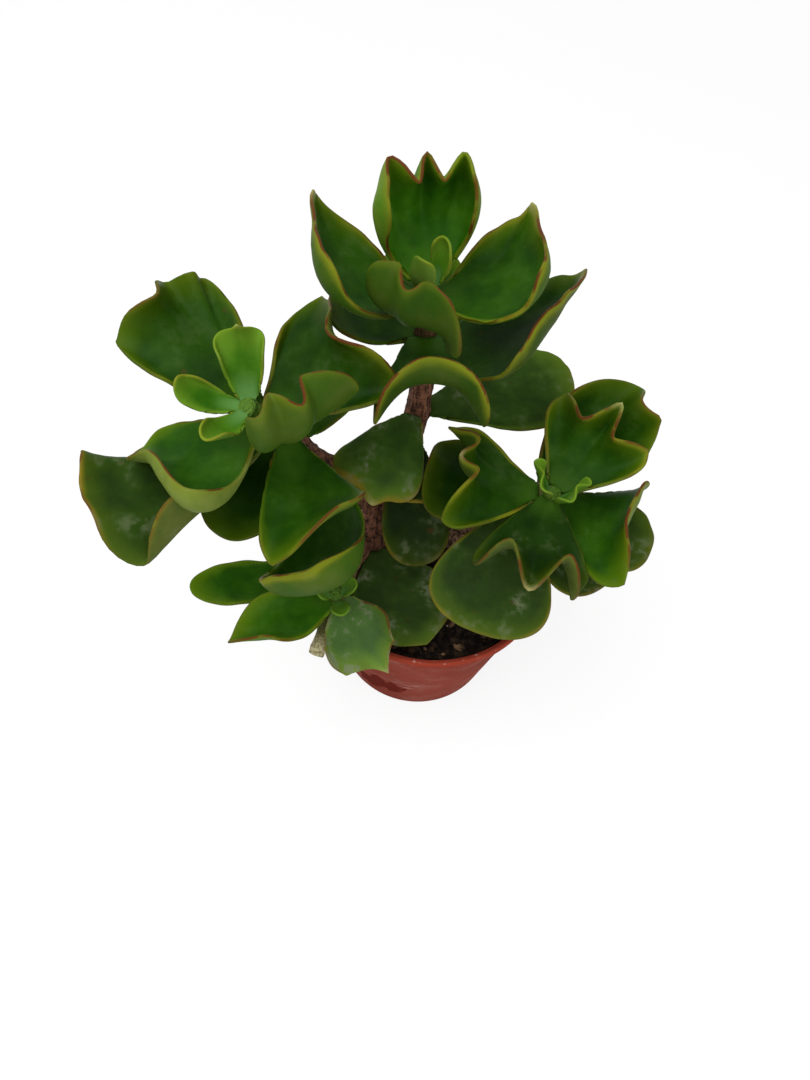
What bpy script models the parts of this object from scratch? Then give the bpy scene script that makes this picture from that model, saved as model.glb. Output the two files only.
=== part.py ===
"""A potted ripple jade: a branching succulent with wavy leaves in a plastic nursery pot.

Each leaf is a thin fleshy blade.  Its flat outline is a spoon shape, and its margin is rolled up
by an angle that changes along the edge, which gives the ripples.  Leaves sit round their stems.
Axes: +Z up, origin at the middle of the pot's underside, -Y towards the viewer.  Metres.
"""

import math
from dataclasses import dataclass

import bmesh
import bpy
import numpy as np

MM = 0.001
GAP = 0.3

# Pot, in millimetres: a turned, tapering wall with a thick rim band.
POT_HEIGHT = 84.0
POT_RIM_RADIUS = 52.5
POT_RIM_BAND = 7.0
POT_RIM_WALL = 3.2
POT_BASE_RADIUS = 38.8
POT_NECK_RADIUS = 49.4
POT_WALL = 1.6
POT_FLOOR = 2.4
POT_SIDES = 64

# Soil, in millimetres.
SOIL_TOP = 73.5
SOIL_CROWN = 1.6
SOIL_SIDES = 48
SOIL_RINGS = 5
SOCKET_DEPTH = 14.0
SOCKET_SIDES = 20

# Stems, in millimetres: points of the axis from the soil up, and the radius at each.
STEM_SIDES = 12
STEM_STEPS = 5
STEMS = {
    "top": (
        [(-28, 5, 61), (-28, 5, 75), (-25, 12, 100), (-16, 26, 132), (-14, 30, 160), (-16, 22, 213)],
        [7.5, 7.0, 6.0, 4.8, 4.4, 2.4],
    ),
    "left": (
        [(-25, 11, 98), (-38, 9, 118), (-51, 1, 142), (-60, -8, 166), (-67, -18, 190)],
        [5.0, 4.8, 4.4, 4.2, 2.4],
    ),
    "stub": (
        [(-28, 6, 82), (-33, -14, 89), (-36, -32, 94), (-39, -48, 91), (-41, -55, 86)],
        [4.0, 3.4, 3.3, 3.2, 3.2],
    ),
    "low": ([(-36, -30, 94), (-36, -34, 100), (-36, -37, 106)], [2.8, 2.6, 2.0]),
    "right": (
        [(13, 13, 61), (13, 13, 75), (20, 20, 96), (28, 13, 118), (36, 2, 136), (40, -5, 149)],
        [7.5, 7.0, 5.6, 4.6, 4.2, 1.9],
    ),
}

# Leaves, in millimetres.
LEAF_THICKNESS = 2.8
LEAF_EDGE_THICKNESS = 1.3
YOUNG_THICKNESS = 1.8
YOUNG_EDGE_THICKNESS = 1.0
YOUNG_LENGTH = 31.0
NECK_HALF_WIDTH = 4.0
THINNING_POWER = 0.8
EDGE_STEEPNESS = 1.2
ROLL_POWER = 2.6
OUTLINE_RISE = 1.2
TIP_POINT_SPREAD = 0.07
FAN_REACH = 0.93
LEAF_VEINS = 13
LEAF_RINGS = (0.0, 0.35, 0.6, 0.8, 0.92, 1.0)
SEAT_LEAN = 0.9

# How finely the curves are worked out before the few points above are read from them.
OUTLINE_SAMPLES = 161
VEIN_SAMPLES = 61
BEND_SAMPLES = 121
BEND_OVERRUN = 1.2


@dataclass(frozen=True)
class Leaf:
    """One leaf.  Angles in degrees, lengths in millimetres.

    place is the share of the stem below the leaf; azimuth turns from +X towards +Y; rise is the
    slope at the base; curl lists how far the margin rolls up, evenly spaced along the edge from
    the right-hand base round the tip to the left-hand base.  roll turns the blade about its own
    midrib, bend and hook droop it or its end, fold cups it across and sweep bows it sideways.
    neck is half the width at the base, point the length of the tip's little spike, and taper how
    slender the far end is.  skew above 0 widens the right-hand half.  ease sets how late the
    margin starts to roll.  slide is extra clearance from the stem.
    """

    stem: str
    place: float
    azimuth: float
    rise: float
    length: float
    width: float
    curl: tuple
    roll: float = 0.0
    bend: float = 0.0
    hook: float = 0.0
    fold: float = 0.0
    sweep: float = 0.0
    neck: float = NECK_HALF_WIDTH
    point: float = 0.0
    taper: float = 0.5
    skew: float = 0.0
    ease: float = ROLL_POWER
    slide: float = 0.0


LEAVES = {
    "top_leaf_back": Leaf(
        "top", 0.985, 107, 34, 42, 56,
        (0, 30, 80, 115, 120, 105, 80, 130, 85, 130, 80, 105, 120, 115, 80, 30, 0),
        bend=10, fold=25, taper=0.45, ease=2,
    ),
    "top_leaf_front": Leaf(
        "top", 0.975, -105, -1, 36, 40,
        (0, 30, 60, 100, 130, 140, 95, 120, 90, 20, -30, -30, 0),
        bend=25, taper=0.4, ease=1.6, slide=0.3,
    ),
    "top_leaf_right": Leaf(
        "top", 0.955, 27, 4, 42, 45,
        (0, 30, 70, 115, 120, 105, 75, 60, 50, 50, 40, 20, 0),
        sweep=38, point=5, taper=0.7, skew=0.6, ease=2,
    ),
    "top_leaf_left": Leaf(
        "top", 0.955, 174, 4, 46, 43,
        (0, 20, 40, 50, 50, 60, 80, 105, 120, 115, 80, 40, 0),
        sweep=-36, point=5, taper=0.7, skew=-0.55, ease=2,
    ),
    "top_leaf_lower_right": Leaf(
        "top", 0.8, 5, 14, 59, 50,
        (0, 20, 60, 100, 110, 80, 30, 20, 10, 10, 0, 0, 0),
        bend=10, sweep=34, taper=1.1, skew=0.35,
    ),
    "top_leaf_lower_left": Leaf(
        "top", 0.835, 172, 4, 33, 32,
        (0, 20, 30, 40, 50, 50, 50, 40, 30, 0, 0),
        fold=10,
    ),
    "top_leaf_lower_front": Leaf(
        "top", 0.85, -81, 4, 40, 39,
        (0, 0, 0, 0, 10, 110, 140, 110, 10, 0, 0, 0, 0),
        bend=-5, fold=-35, neck=7, taper=0.35,
    ),
    "top_bud_right": Leaf(
        "top", 1, 45, 72, 16, 10,
        (0, 20, 30, 20, 30, 20, 0),
        bend=10, fold=30, neck=2.4,
    ),
    "top_bud_left": Leaf(
        "top", 1, 240, 72, 15, 10,
        (0, 20, 30, 20, 30, 20, 0),
        bend=10, fold=30, neck=2.4,
    ),
    "left_leaf_back": Leaf(
        "left", 0.925, 126, 14, 52, 38,
        (0, 5, 10, 15, 20, 20, 15, 10, 5, 0, 0, -5, 45, -10, 110, 90, 20, 0, 10, 20, 30, 20, 10, 5, 0),
        bend=5, point=-2, taper=0.6, skew=-0.55, ease=4.5,
    ),
    "left_young_back": Leaf(
        "left", 0.98, 110, 40, 23, 17,
        (0, 20, 30, 0, 60, 0, 30, 20, 0),
        fold=30, neck=3, point=2, taper=0.4,
    ),
    "left_young_side": Leaf(
        "left", 0.985, 180, 2, 24, 11,
        (0, 20, 60, 60, 60, 20, 0, 0, 0),
        bend=20, fold=20, neck=2.4, slide=0.3,
    ),
    "left_young_front": Leaf(
        "left", 1, -116, 4, 20, 12,
        (0, 20, 60, 40, 60, 20, 0),
        bend=10, fold=20, neck=2,
    ),
    "left_leaf_right": Leaf(
        "left", 0.955, -40, 10, 41, 46,
        (0, 40, 90, 120, 120, 150, 110, 140, 110, 60, 50, 30, 0),
        taper=0.35, skew=-0.1, ease=1.6, slide=0.3,
    ),
    "left_leaf_inner": Leaf(
        "left", 0.9, 46, 13, 41, 50,
        (0, 10, 20, 20, 20, 120, 130, 70, 10, 10, 40, 20, 0),
        taper=0.35,
    ),
    "left_leaf_front": Leaf(
        "left", 0.885, -148, -25, 45, 54,
        (0, 10, 10, 10, 0, 60, 150, 170, 170, 150, 100, 30, 0),
        taper=0.45, skew=-0.3, ease=3.2,
    ),
    "left_leaf_far": Leaf(
        "left", 0.78, -152, -20, 66, 46,
        (0, 0, 0, 10, -10, 80, 60, 70, 0, 100, 60, 20, 0),
        taper=0.35, skew=-0.15,
    ),
    "left_leaf_under": Leaf(
        "left", 0.73, -112, -22, 38, 26,
        (0, 10, 20, 30, 20, 30, 20, 10, 0),
        slide=-0.7,
    ),
    "left_leaf_lower_front": Leaf(
        "left", 0.76, -54, -18, 43, 39,
        (0, 0, 10, 20, 20, 80, 110, 110, 90, 30, 10, 0, 0),
        taper=0.35, skew=0.2,
    ),
    "left_leaf_lowest_front": Leaf(
        "left", 0.52, -55, -34, 74, 54,
        (0, 0, 40, 110, 150, 170, 170, 165, 150, 110, 50, 10, 0),
        roll=48, taper=0.4, skew=0.1, ease=2,
    ),
    "left_leaf_low_side": Leaf(
        "stub", 0.42, -163, -3, 60, 19,
        (0, 10, 20, 20, 20, 20, 20, 10, 0),
        neck=4, slide=1.4,
    ),
    "right_leaf_back": Leaf(
        "right", 0.97, 54, 20, 32, 42,
        (0, 20, 30, 30, 20, 105, 40, 110, 20, 30, 30, 20, 0),
        bend=10, point=6, taper=0.35, skew=-0.05,
    ),
    "right_leaf_far_back": Leaf(
        "right", 0.84, 58, 22, 53, 38,
        (0, 10, 20, 50, 20, 10, 50, 0, 30, 60, 60, 30, 0),
        bend=25, sweep=-45, taper=0.7,
    ),
    "right_leaf_left": Leaf(
        "right", 0.93, 182, 4, 38, 44,
        (0, 20, 30, 30, 10, 110, 85, 110, 0, 20, 20, 10, 0),
        bend=10, point=3, taper=0.35, slide=0.6,
    ),
    "right_leaf_lower_left": Leaf(
        "right", 0.84, 176, -9, 40, 38,
        (0, 20, 40, 30, 20, 50, 50, 40, 20, 10, 10, 0, 0),
        fold=10, taper=0.4, slide=0.7,
    ),
    "right_leaf_right": Leaf(
        "right", 0.87, -26, 0, 42, 46,
        (0, 0, 0, 0, 10, 100, 120, 120, 100, 10, 0, 0, 0),
        bend=10, fold=10, taper=0.35, slide=0.5,
    ),
    "right_leaf_front": Leaf(
        "right", 0.975, -99, -4, 38, 42,
        (0, 0, 10, 10, 20, 110, 30, 110, -20, 10, 10, 0, 0),
        fold=-30, point=4, taper=0.35,
    ),
    "right_leaf_lower_front": Leaf(
        "right", 0.78, -104, -32, 54, 48,
        (0, 10, 20, 30, 40, 30, 20, 10, 0),
    ),
    "right_leaf_lower_right": Leaf(
        "right", 0.7, -38, -18, 46, 34,
        (0, 10, 20, 30, 40, 30, 20, 10, 0),
    ),
    "right_bud_left": Leaf(
        "right", 1, 192, 58, 15, 16,
        (0, 20, 40, 0, 50, 0, 40, 20, 0),
        fold=20, neck=2.2, taper=0.4, slide=-0.6,
    ),
    "right_bud_right": Leaf(
        "right", 1, -42, 60, 15, 16,
        (0, 20, 40, 0, 50, 0, 40, 20, 0),
        fold=20, neck=2.4, taper=0.4, slide=0.3,
    ),
    "middle_leaf_right": Leaf(
        "top", 0.56, 26, -4, 62, 40,
        (0, 0, 0, 10, 30, 20, 10, 0, 0),
    ),
    "middle_leaf_left": Leaf(
        "top", 0.56, -106, 0, 36, 37,
        (0, 0, -10, 0, 10, 10, 0, -20, -30, -30, -20, 0, 0),
        bend=-26, fold=-20, point=4, taper=0.35, skew=0.2, slide=0.3,
    ),
    "middle_leaf_front": Leaf(
        "top", 0.48, -77, -45, 50, 27,
        (0, 10, 20, 30, 20, 30, 20, 10, 0),
    ),
    "low_leaf_left": Leaf(
        "low", 0.7, -145, -12, 42, 26,
        (0, 20, 30, 20, 40, 90, 60, 20, 0),
        fold=10, taper=0.8,
    ),
    "low_leaf_front": Leaf(
        "low", 0.6, -47, -15, 29, 32,
        (0, 20, 30, 20, 20, 100, 110, 80, 0),
        bend=-10, fold=10, point=2, taper=0.6, skew=0.2,
    ),
    "right_leaf_under": Leaf(
        "right", 0.76, -14, -12, 50, 34,
        (0, 10, 20, 20, 20, 20, 20, 10, 0),
    ),
    "middle_leaf_low": Leaf(
        "left", 0.38, -4, -14, 42, 15,
        (0, 10, 30, 40, 20, 20, 10, 10, 0),
        point=3, slide=0.8,
    ),
    "soil_leaf": Leaf(
        "top", 0.11, -58, 0, 51, 44,
        (0, 0, 10, 20, 20, 10, 20, 20, 10, 0, 0, 0, 0),
        taper=0.9,
    ),
    "low_bud_right": Leaf(
        "low", 1, 20, 50, 9, 7,
        (0, 20, 30, 20, 30, 20, 0),
        fold=20, neck=1.8,
    ),
    "low_bud_left": Leaf(
        "low", 1, 200, 50, 9, 7,
        (0, 20, 30, 20, 30, 20, 0),
        fold=20, neck=1.8,
    ),
    "low_bud_back": Leaf(
        "low", 0.82, 110, 40, 12, 9,
        (0, 20, 30, 20, 30, 20, 0),
        fold=20, neck=1.8,
    ),
    "low_bud_front": Leaf(
        "low", 0.82, -70, 30, 11, 8,
        (0, 20, 30, 20, 30, 20, 0),
        fold=20, neck=1.8,
    ),
    "top_leaf_lower_back": Leaf(
        "top", 0.79, 100, 8, 38, 32,
        (0, 20, 40, 40, 20, 50, 20, 50, 20, 40, 40, 20, 0),
    ),
    "middle_leaf_back": Leaf(
        "top", 0.66, 82, 4, 36, 32,
        (0, 20, 40, 40, 20, 50, 20, 50, 20, 40, 40, 20, 0),
    ),
    "left_leaf_lower_back": Leaf(
        "left", 0.62, 72, 0, 27, 24,
        (0, 20, 40, 40, 20, 50, 20, 50, 20, 40, 40, 20, 0),
        slide=0.3,
    ),
}


def smooth_through(stations, values, at):
    """A smooth curve through the values at the stations, read at the given places."""
    stations = np.asarray(stations, float)
    values = np.asarray(values, float)
    slopes = np.gradient(values, stations)
    cell = np.clip(np.searchsorted(stations, at) - 1, 0, len(stations) - 2)
    size = stations[cell + 1] - stations[cell]
    t = (at - stations[cell]) / size
    start = (2 * t**3 - 3 * t**2 + 1) * values[cell] + (t**3 - 2 * t**2 + t) * size * slopes[cell]
    end = (3 * t**2 - 2 * t**3) * values[cell + 1] + (t**3 - t**2) * size * slopes[cell + 1]
    return start + end


def running_sum(values, steps):
    """The integral of the rows of values, each a step further, starting from 0."""
    middles = (values[1:] + values[:-1]) / 2
    return np.concatenate([np.zeros_like(values[:1]), np.cumsum(middles * steps, axis=0)])


def bent_line(share, first, second, size):
    """Where a straight strip lies once its slope is first * share + second * share squared."""
    table = np.linspace(0.0, BEND_OVERRUN, BEND_SAMPLES)
    slope = np.radians(first * table + second * table**2)
    along = running_sum(np.cos(slope), table[1] - table[0]) * size
    above = running_sum(np.sin(slope), table[1] - table[0]) * size
    inside = np.clip(share, 0.0, BEND_OVERRUN)
    turned = np.radians(first * inside + second * inside**2)
    back = np.minimum(share, 0.0) * size
    return np.interp(inside, table, along) + back, np.interp(inside, table, above), turned


def leaf_margin(leaf, edge):
    """The flat outline at places along the edge: -1 right-hand base, 0 tip, 1 left-hand base."""
    share = (1 - np.cos(np.linspace(0, math.pi, OUTLINE_SAMPLES))) / 2
    belly = share**OUTLINE_RISE * (1 - share) ** leaf.taper
    half_width = leaf.neck * (1 - share) ** 2 + leaf.width / 2 * belly / belly.max()
    along = leaf.length * share[::-1]
    across = half_width[::-1]
    run = np.concatenate([[0.0], np.cumsum(np.hypot(np.diff(along), np.diff(across)))])
    run /= run[-1]
    peak = leaf.point * np.exp(-((edge / TIP_POINT_SPREAD) ** 2))
    side = np.sign(edge) * (1 - leaf.skew * np.sign(edge))
    return np.interp(abs(edge), run, along) + peak, side * np.interp(abs(edge), run, across)


def leaf_sheet(leaf, veins, rings):
    """The middle surface of the leaf in its own frame: x outwards, y to its left, z its upper face.

    Veins fan out from the base to the margin.  A vein's slope grows with a power of the distance
    along it, up to the curl angle, so the blade stays open and its margin rolls.  The sheet is
    then folded along its midrib, bent up or down and swept sideways.
    """
    edge = np.linspace(-FAN_REACH, FAN_REACH, veins)
    tip_x, tip_y = leaf_margin(leaf, edge)
    base_y = edge * leaf.neck
    reach = np.hypot(tip_x, tip_y - base_y)
    heading = np.arctan2(tip_y - base_y, tip_x)
    curl = smooth_through(np.linspace(-1, 1, len(leaf.curl)), leaf.curl, edge)
    table = np.linspace(0, 1, VEIN_SAMPLES)
    slope = np.radians(curl[None, :] * table[:, None] ** leaf.ease)
    out = running_sum(np.cos(slope), table[1])
    lift = running_sum(np.sin(slope), table[1])
    out = np.stack([np.interp(rings, table, column) for column in out.T], axis=1) * reach
    lift = np.stack([np.interp(rings, table, column) for column in lift.T], axis=1) * reach
    x = out * np.cos(heading)
    y = base_y + out * np.sin(heading)
    z = lift
    if leaf.fold:
        bow = math.radians(leaf.fold)
        radius = leaf.width / 2 / bow
        angle = y / radius
        y = radius * np.sin(angle) - z * np.sin(angle)
        z = radius * (1 - np.cos(angle)) + z * np.cos(angle)
    along, above, angle = bent_line(x / leaf.length, leaf.bend, leaf.hook, leaf.length)
    x = along - z * np.sin(angle)
    z = above + z * np.cos(angle)
    along, aside, angle = bent_line(x / leaf.length, leaf.sweep, 0.0, leaf.length)
    x = along - y * np.sin(angle)
    y = aside + y * np.cos(angle)
    return np.stack([x, y, z], axis=-1)


def leaf_turn(leaf):
    """The matrix that turns a leaf's own frame to where it points: roll, then rise, then azimuth."""
    azimuth, rise, roll = np.radians([leaf.azimuth, leaf.rise, leaf.roll])
    about_x = np.array(
        [
            [1, 0, 0],
            [0, math.cos(roll), -math.sin(roll)],
            [0, math.sin(roll), math.cos(roll)],
        ]
    )
    about_y = np.array(
        [
            [math.cos(rise), 0, -math.sin(rise)],
            [0, 1, 0],
            [math.sin(rise), 0, math.cos(rise)],
        ]
    )
    about_z = np.array(
        [
            [math.cos(azimuth), -math.sin(azimuth), 0],
            [math.sin(azimuth), math.cos(azimuth), 0],
            [0, 0, 1],
        ]
    )
    return about_z @ about_y @ about_x


def stem_axis(name):
    """A stem's smooth axis, STEM_STEPS places between its points, and the radius at each place."""
    points, radii = STEMS[name]
    knots = np.arange(len(points), dtype=float)
    places = np.linspace(0, len(points) - 1, STEM_STEPS * (len(points) - 1) + 1)
    columns = [smooth_through(knots, column, places) for column in np.transpose(points)]
    return np.stack(columns, axis=1), np.interp(places, knots, radii)


def stem_place(name, share):
    """The middle, the radius and the direction of a stem at a share of its length."""
    axis, radii = stem_axis(name)
    run = np.concatenate([[0.0], np.cumsum(np.linalg.norm(np.diff(axis, axis=0), axis=1))])
    at = share * run[-1]
    middle = np.array([np.interp(at, run, column) for column in axis.T])
    after = int(np.clip(np.searchsorted(run, at), 1, len(run) - 1))
    direction = axis[after] - axis[after - 1]
    return middle, float(np.interp(at, run, radii)), direction / np.linalg.norm(direction)


def leaf_thickness(leaf):
    """The thickness at the base and near the edge."""
    if leaf.length < YOUNG_LENGTH:
        return YOUNG_THICKNESS, YOUNG_EDGE_THICKNESS
    return LEAF_THICKNESS, LEAF_EDGE_THICKNESS


def leaf_seat(leaf):
    """Where the middle of the leaf's base lies: just clear of its stem's skin."""
    middle, radius, direction = stem_place(leaf.stem, leaf.place)
    azimuth = math.radians(leaf.azimuth)
    outwards = np.array([math.cos(azimuth), math.sin(azimuth), 0.0])
    outwards -= SEAT_LEAN * direction * (outwards @ direction)
    outwards /= np.linalg.norm(outwards)
    slope = math.sin(math.radians(leaf.rise))
    clearance = GAP + abs(slope) * leaf_thickness(leaf)[0] / 2 + leaf.slide
    return middle + outwards * (radius + clearance)


def sheet_normals(sheet):
    """Unit normals of a grid of points, towards the leaf's upper face."""
    across = np.gradient(sheet, axis=1)
    along = np.gradient(sheet, axis=0)
    normals = np.cross(along, across)
    return normals / np.linalg.norm(normals, axis=-1, keepdims=True)


def edge_distance(sheet):
    """How far each point of the sheet lies from its nearest edge, measured along its row or vein."""
    to_rim = np.linalg.norm(sheet - sheet[-1:], axis=-1)
    to_first_side = np.linalg.norm(sheet - sheet[:, :1], axis=-1)
    to_last_side = np.linalg.norm(sheet - sheet[:, -1:], axis=-1)
    return np.minimum(to_rim, np.minimum(to_first_side, to_last_side))


def leaf_shell(leaf):
    """Points and faces of the closed leaf: an upper and a lower sheet that share their rim."""
    rings = np.array(LEAF_RINGS)
    sheet = leaf_sheet(leaf, LEAF_VEINS, rings)
    base, edge = leaf_thickness(leaf)
    thinning = base + (edge - base) * rings**THINNING_POWER
    thickness = np.minimum(thinning[:, None], EDGE_STEEPNESS * edge_distance(sheet))
    offset = sheet_normals(sheet) * thickness[..., None] / 2
    turn = leaf_turn(leaf)
    seat = leaf_seat(leaf)
    upper = (sheet + offset) @ turn.T + seat
    lower = (sheet - offset) @ turn.T + seat
    rows, columns = thickness.shape
    top = np.arange(rows * columns).reshape(rows, columns)
    bottom = top.copy()
    bottom[:-1, 1:-1] = rows * columns + np.arange((rows - 1) * (columns - 2)).reshape(rows - 1, -1)
    points = np.concatenate([upper.reshape(-1, 3), lower[:-1, 1:-1].reshape(-1, 3)])
    faces = []
    for i in range(rows - 1):
        for j in range(columns - 1):
            faces.append((top[i, j], top[i + 1, j], top[i + 1, j + 1], top[i, j + 1]))
            faces.append((bottom[i, j], bottom[i, j + 1], bottom[i + 1, j + 1], bottom[i + 1, j]))
    for j in range(columns - 1):
        corners = (top[0, j], top[0, j + 1], bottom[0, j + 1], bottom[0, j])
        faces.append(tuple(dict.fromkeys(corners)))
    return points, faces



def clear_scene():
    """Start from an empty scene."""
    for item in list(bpy.data.objects):
        bpy.data.objects.remove(item, do_unlink=True)


def make_material(name, colour, roughness, metallic=0.0):
    """A plain Principled material."""
    material = bpy.data.materials.new(name)
    material.use_nodes = True
    shader = material.node_tree.nodes["Principled BSDF"]
    shader.inputs["Base Color"].default_value = (*colour, 1.0)
    shader.inputs["Roughness"].default_value = roughness
    shader.inputs["Metallic"].default_value = metallic
    material.diffuse_color = (*colour, 1.0)
    return material


def make_object(name, points, faces, material, crease=40.0):
    """An object from points in millimetres and faces, with its normals out and smooth shading."""
    shape = bmesh.new()
    corners = [shape.verts.new([value * MM for value in point]) for point in points]
    for face in faces:
        shape.faces.new([corners[index] for index in face])
    bmesh.ops.recalc_face_normals(shape, faces=shape.faces)
    mesh = bpy.data.meshes.new(name)
    shape.to_mesh(mesh)
    shape.free()
    mesh.shade_smooth()
    mesh.set_sharp_from_angle(angle=math.radians(crease))
    mesh.materials.append(material)
    item = bpy.data.objects.new(name, mesh)
    bpy.context.scene.collection.objects.link(item)
    return item


def apply_boolean(item, other, operation):
    """Join another object to this one, or cut it away, and keep the result as the mesh."""
    modifier = item.modifiers.new(operation.lower(), "BOOLEAN")
    modifier.operation = operation
    modifier.solver = "EXACT"
    modifier.object = other
    bpy.context.view_layer.update()
    graph = bpy.context.evaluated_depsgraph_get()
    joined = bpy.data.meshes.new_from_object(item.evaluated_get(graph))
    item.modifiers.clear()
    item.data = joined
    bpy.data.objects.remove(other, do_unlink=True)


def turned_body(name, profile, sides, material):
    """A closed body of revolution.  Profile points at radius 0 become poles."""
    shape = bmesh.new()
    corners = [shape.verts.new((radius * MM, 0.0, height * MM)) for radius, height in profile]
    edges = [shape.edges.new(pair) for pair in zip(corners[:-1], corners[1:])]
    bmesh.ops.spin(
        shape,
        geom=corners + edges,
        cent=(0, 0, 0),
        axis=(0, 0, 1),
        angle=math.tau,
        steps=sides,
        use_merge=True,
    )
    bmesh.ops.remove_doubles(shape, verts=shape.verts, dist=0.01 * MM)
    bmesh.ops.recalc_face_normals(shape, faces=shape.faces)
    mesh = bpy.data.meshes.new(name)
    shape.to_mesh(mesh)
    shape.free()
    mesh.shade_smooth()
    mesh.set_sharp_from_angle(angle=math.radians(35))
    mesh.materials.append(material)
    item = bpy.data.objects.new(name, mesh)
    bpy.context.scene.collection.objects.link(item)
    return item


def build_pot(material):
    """The thin tapering wall with its rim band and its flat floor."""
    neck = POT_HEIGHT - POT_RIM_BAND
    inner_base = POT_BASE_RADIUS - POT_WALL
    inner_neck = POT_NECK_RADIUS - POT_WALL
    profile = [
        (0.0, 0.0),
        (POT_BASE_RADIUS - 0.8, 0.0),
        (POT_BASE_RADIUS, 0.8),
        (POT_NECK_RADIUS, neck - 1.2),
        (POT_RIM_RADIUS - 1.4, neck),
        (POT_RIM_RADIUS - 0.8, neck + 0.4),
        (POT_RIM_RADIUS, POT_HEIGHT - 0.8),
        (POT_RIM_RADIUS - 0.6, POT_HEIGHT),
        (POT_RIM_RADIUS - POT_RIM_WALL + 0.6, POT_HEIGHT),
        (POT_RIM_RADIUS - POT_RIM_WALL, POT_HEIGHT - 0.8),
        (inner_neck, neck - 1.0),
        (inner_base, POT_FLOOR),
        (0.0, POT_FLOOR),
    ]
    return turned_body("pot", profile, POT_SIDES, material)


def soil_height(x, y):
    """A low crown with a few soft lumps."""
    reach = np.hypot(x, y) / POT_NECK_RADIUS
    lumps = 0.7 * np.sin(x / 6.1 + 0.4) * np.cos(y / 7.3 - 0.8) + 0.4 * np.sin((x + y) / 4.3)
    return SOIL_TOP + SOIL_CROWN * (1 - reach**2) + lumps * (1 - reach**4)


def build_soil(material):
    """The plug of potting mix, clear of the pot, with a round socket for each trunk."""
    floor = POT_FLOOR + GAP
    neck = POT_HEIGHT - POT_RIM_BAND - 1.0
    slope = (POT_NECK_RADIUS - POT_BASE_RADIUS) / (neck - floor)
    bottom = POT_BASE_RADIUS - POT_WALL - 2 * GAP
    top = bottom + slope * (SOIL_TOP - floor)
    angles = np.arange(SOIL_SIDES) * math.tau / SOIL_SIDES
    radii = top * np.arange(SOIL_RINGS, 0, -1) / SOIL_RINGS
    points = [(bottom * math.cos(a), bottom * math.sin(a), floor) for a in angles]
    for radius in radii:
        x, y = radius * np.cos(angles), radius * np.sin(angles)
        points.extend(zip(x, y, soil_height(x, y)))
    faces = [tuple(reversed(range(SOIL_SIDES)))]
    for ring in range(SOIL_RINGS):
        for j in range(SOIL_SIDES):
            k = (j + 1) % SOIL_SIDES
            low, high = ring * SOIL_SIDES, (ring + 1) * SOIL_SIDES
            faces.append((low + j, low + k, high + k, high + j))
    points.append((0.0, 0.0, float(soil_height(0.0, 0.0))))
    last = SOIL_RINGS * SOIL_SIDES
    faces.extend((last + j, last + (j + 1) % SOIL_SIDES, len(points) - 1) for j in range(SOIL_SIDES))
    soil = make_object("soil", points, faces, material)
    for trunk in ("top", "right"):
        (x, y, height), radius = STEMS[trunk][0][0], STEMS[trunk][1][0]
        bpy.ops.mesh.primitive_cylinder_add(
            vertices=SOCKET_SIDES,
            radius=(radius + 2 * GAP) * MM,
            depth=2 * SOCKET_DEPTH * MM,
            location=(x * MM, y * MM, (height - GAP + SOCKET_DEPTH) * MM),
        )
        apply_boolean(soil, bpy.context.object, "DIFFERENCE")
    return soil


def build_tube(name, stem, material):
    """A stem as rings of points round its axis, closed by a flat face at each end."""
    axis, radii = stem_axis(stem)
    tangents = np.gradient(axis, axis=0)
    tangents /= np.linalg.norm(tangents, axis=1, keepdims=True)
    tangents[0] = (0.0, 0.0, 1.0) if stem in ("top", "right") else tangents[0]
    side = np.array([1.0, 0.0, 0.0])
    points = []
    for middle, radius, tangent in zip(axis, radii, tangents):
        side = side - tangent * (side @ tangent)
        side /= np.linalg.norm(side)
        other = np.cross(tangent, side)
        for j in range(STEM_SIDES):
            angle = math.tau * j / STEM_SIDES
            points.append(middle + radius * (side * math.cos(angle) + other * math.sin(angle)))
    faces = [tuple(reversed(range(STEM_SIDES)))]
    for ring in range(len(axis) - 1):
        for j in range(STEM_SIDES):
            k = (j + 1) % STEM_SIDES
            low, high = ring * STEM_SIDES, (ring + 1) * STEM_SIDES
            faces.append((low + j, low + k, high + k, high + j))
    faces.append(tuple(range((len(axis) - 1) * STEM_SIDES, len(axis) * STEM_SIDES)))
    return make_object(name, points, faces, material)


def build_stems(material):
    """The left plant, whose trunk forks, and the right plant, each one grown piece."""
    plant = build_tube("left_plant_stem", "top", material)
    for branch in ("left", "stub", "low"):
        apply_boolean(plant, build_tube(branch, branch, material), "UNION")
    build_tube("right_plant_stem", "right", material)


def main():
    """Build every piece of the potted plant."""
    clear_scene()
    plastic = make_material("pot_plastic", (0.48, 0.11, 0.06), 0.5)
    mix = make_material("potting_mix", (0.03, 0.02, 0.015), 0.95)
    bark = make_material("stem_bark", (0.30, 0.19, 0.11), 0.75)
    build_pot(plastic)
    build_soil(mix)
    build_stems(bark)
    for name, leaf in LEAVES.items():
        colour = (0.16, 0.33, 0.08) if leaf.length < YOUNG_LENGTH else (0.07, 0.20, 0.04)
        points, faces = leaf_shell(leaf)
        make_object(name, points, faces, make_material(name + "_skin", colour, 0.4))


main()
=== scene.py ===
"""The looks of a potted ripple jade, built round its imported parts.

Every leaf is worked out again on a fine grid from the same sizes as its plain blade, so it fills
the same place: a spoon-shaped sheet whose veins fan out from the base and roll up towards the
margin.  The stems, the soil with its chips and the nursery pot are worked out the same way.
Sizes are in millimetres and become metres when a mesh is made.
"""

import itertools
import logging
import math
from dataclasses import dataclass, field, replace
from enum import Enum
from functools import cached_property

import bpy
import numpy as np
from mathutils import Matrix, Vector


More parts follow.
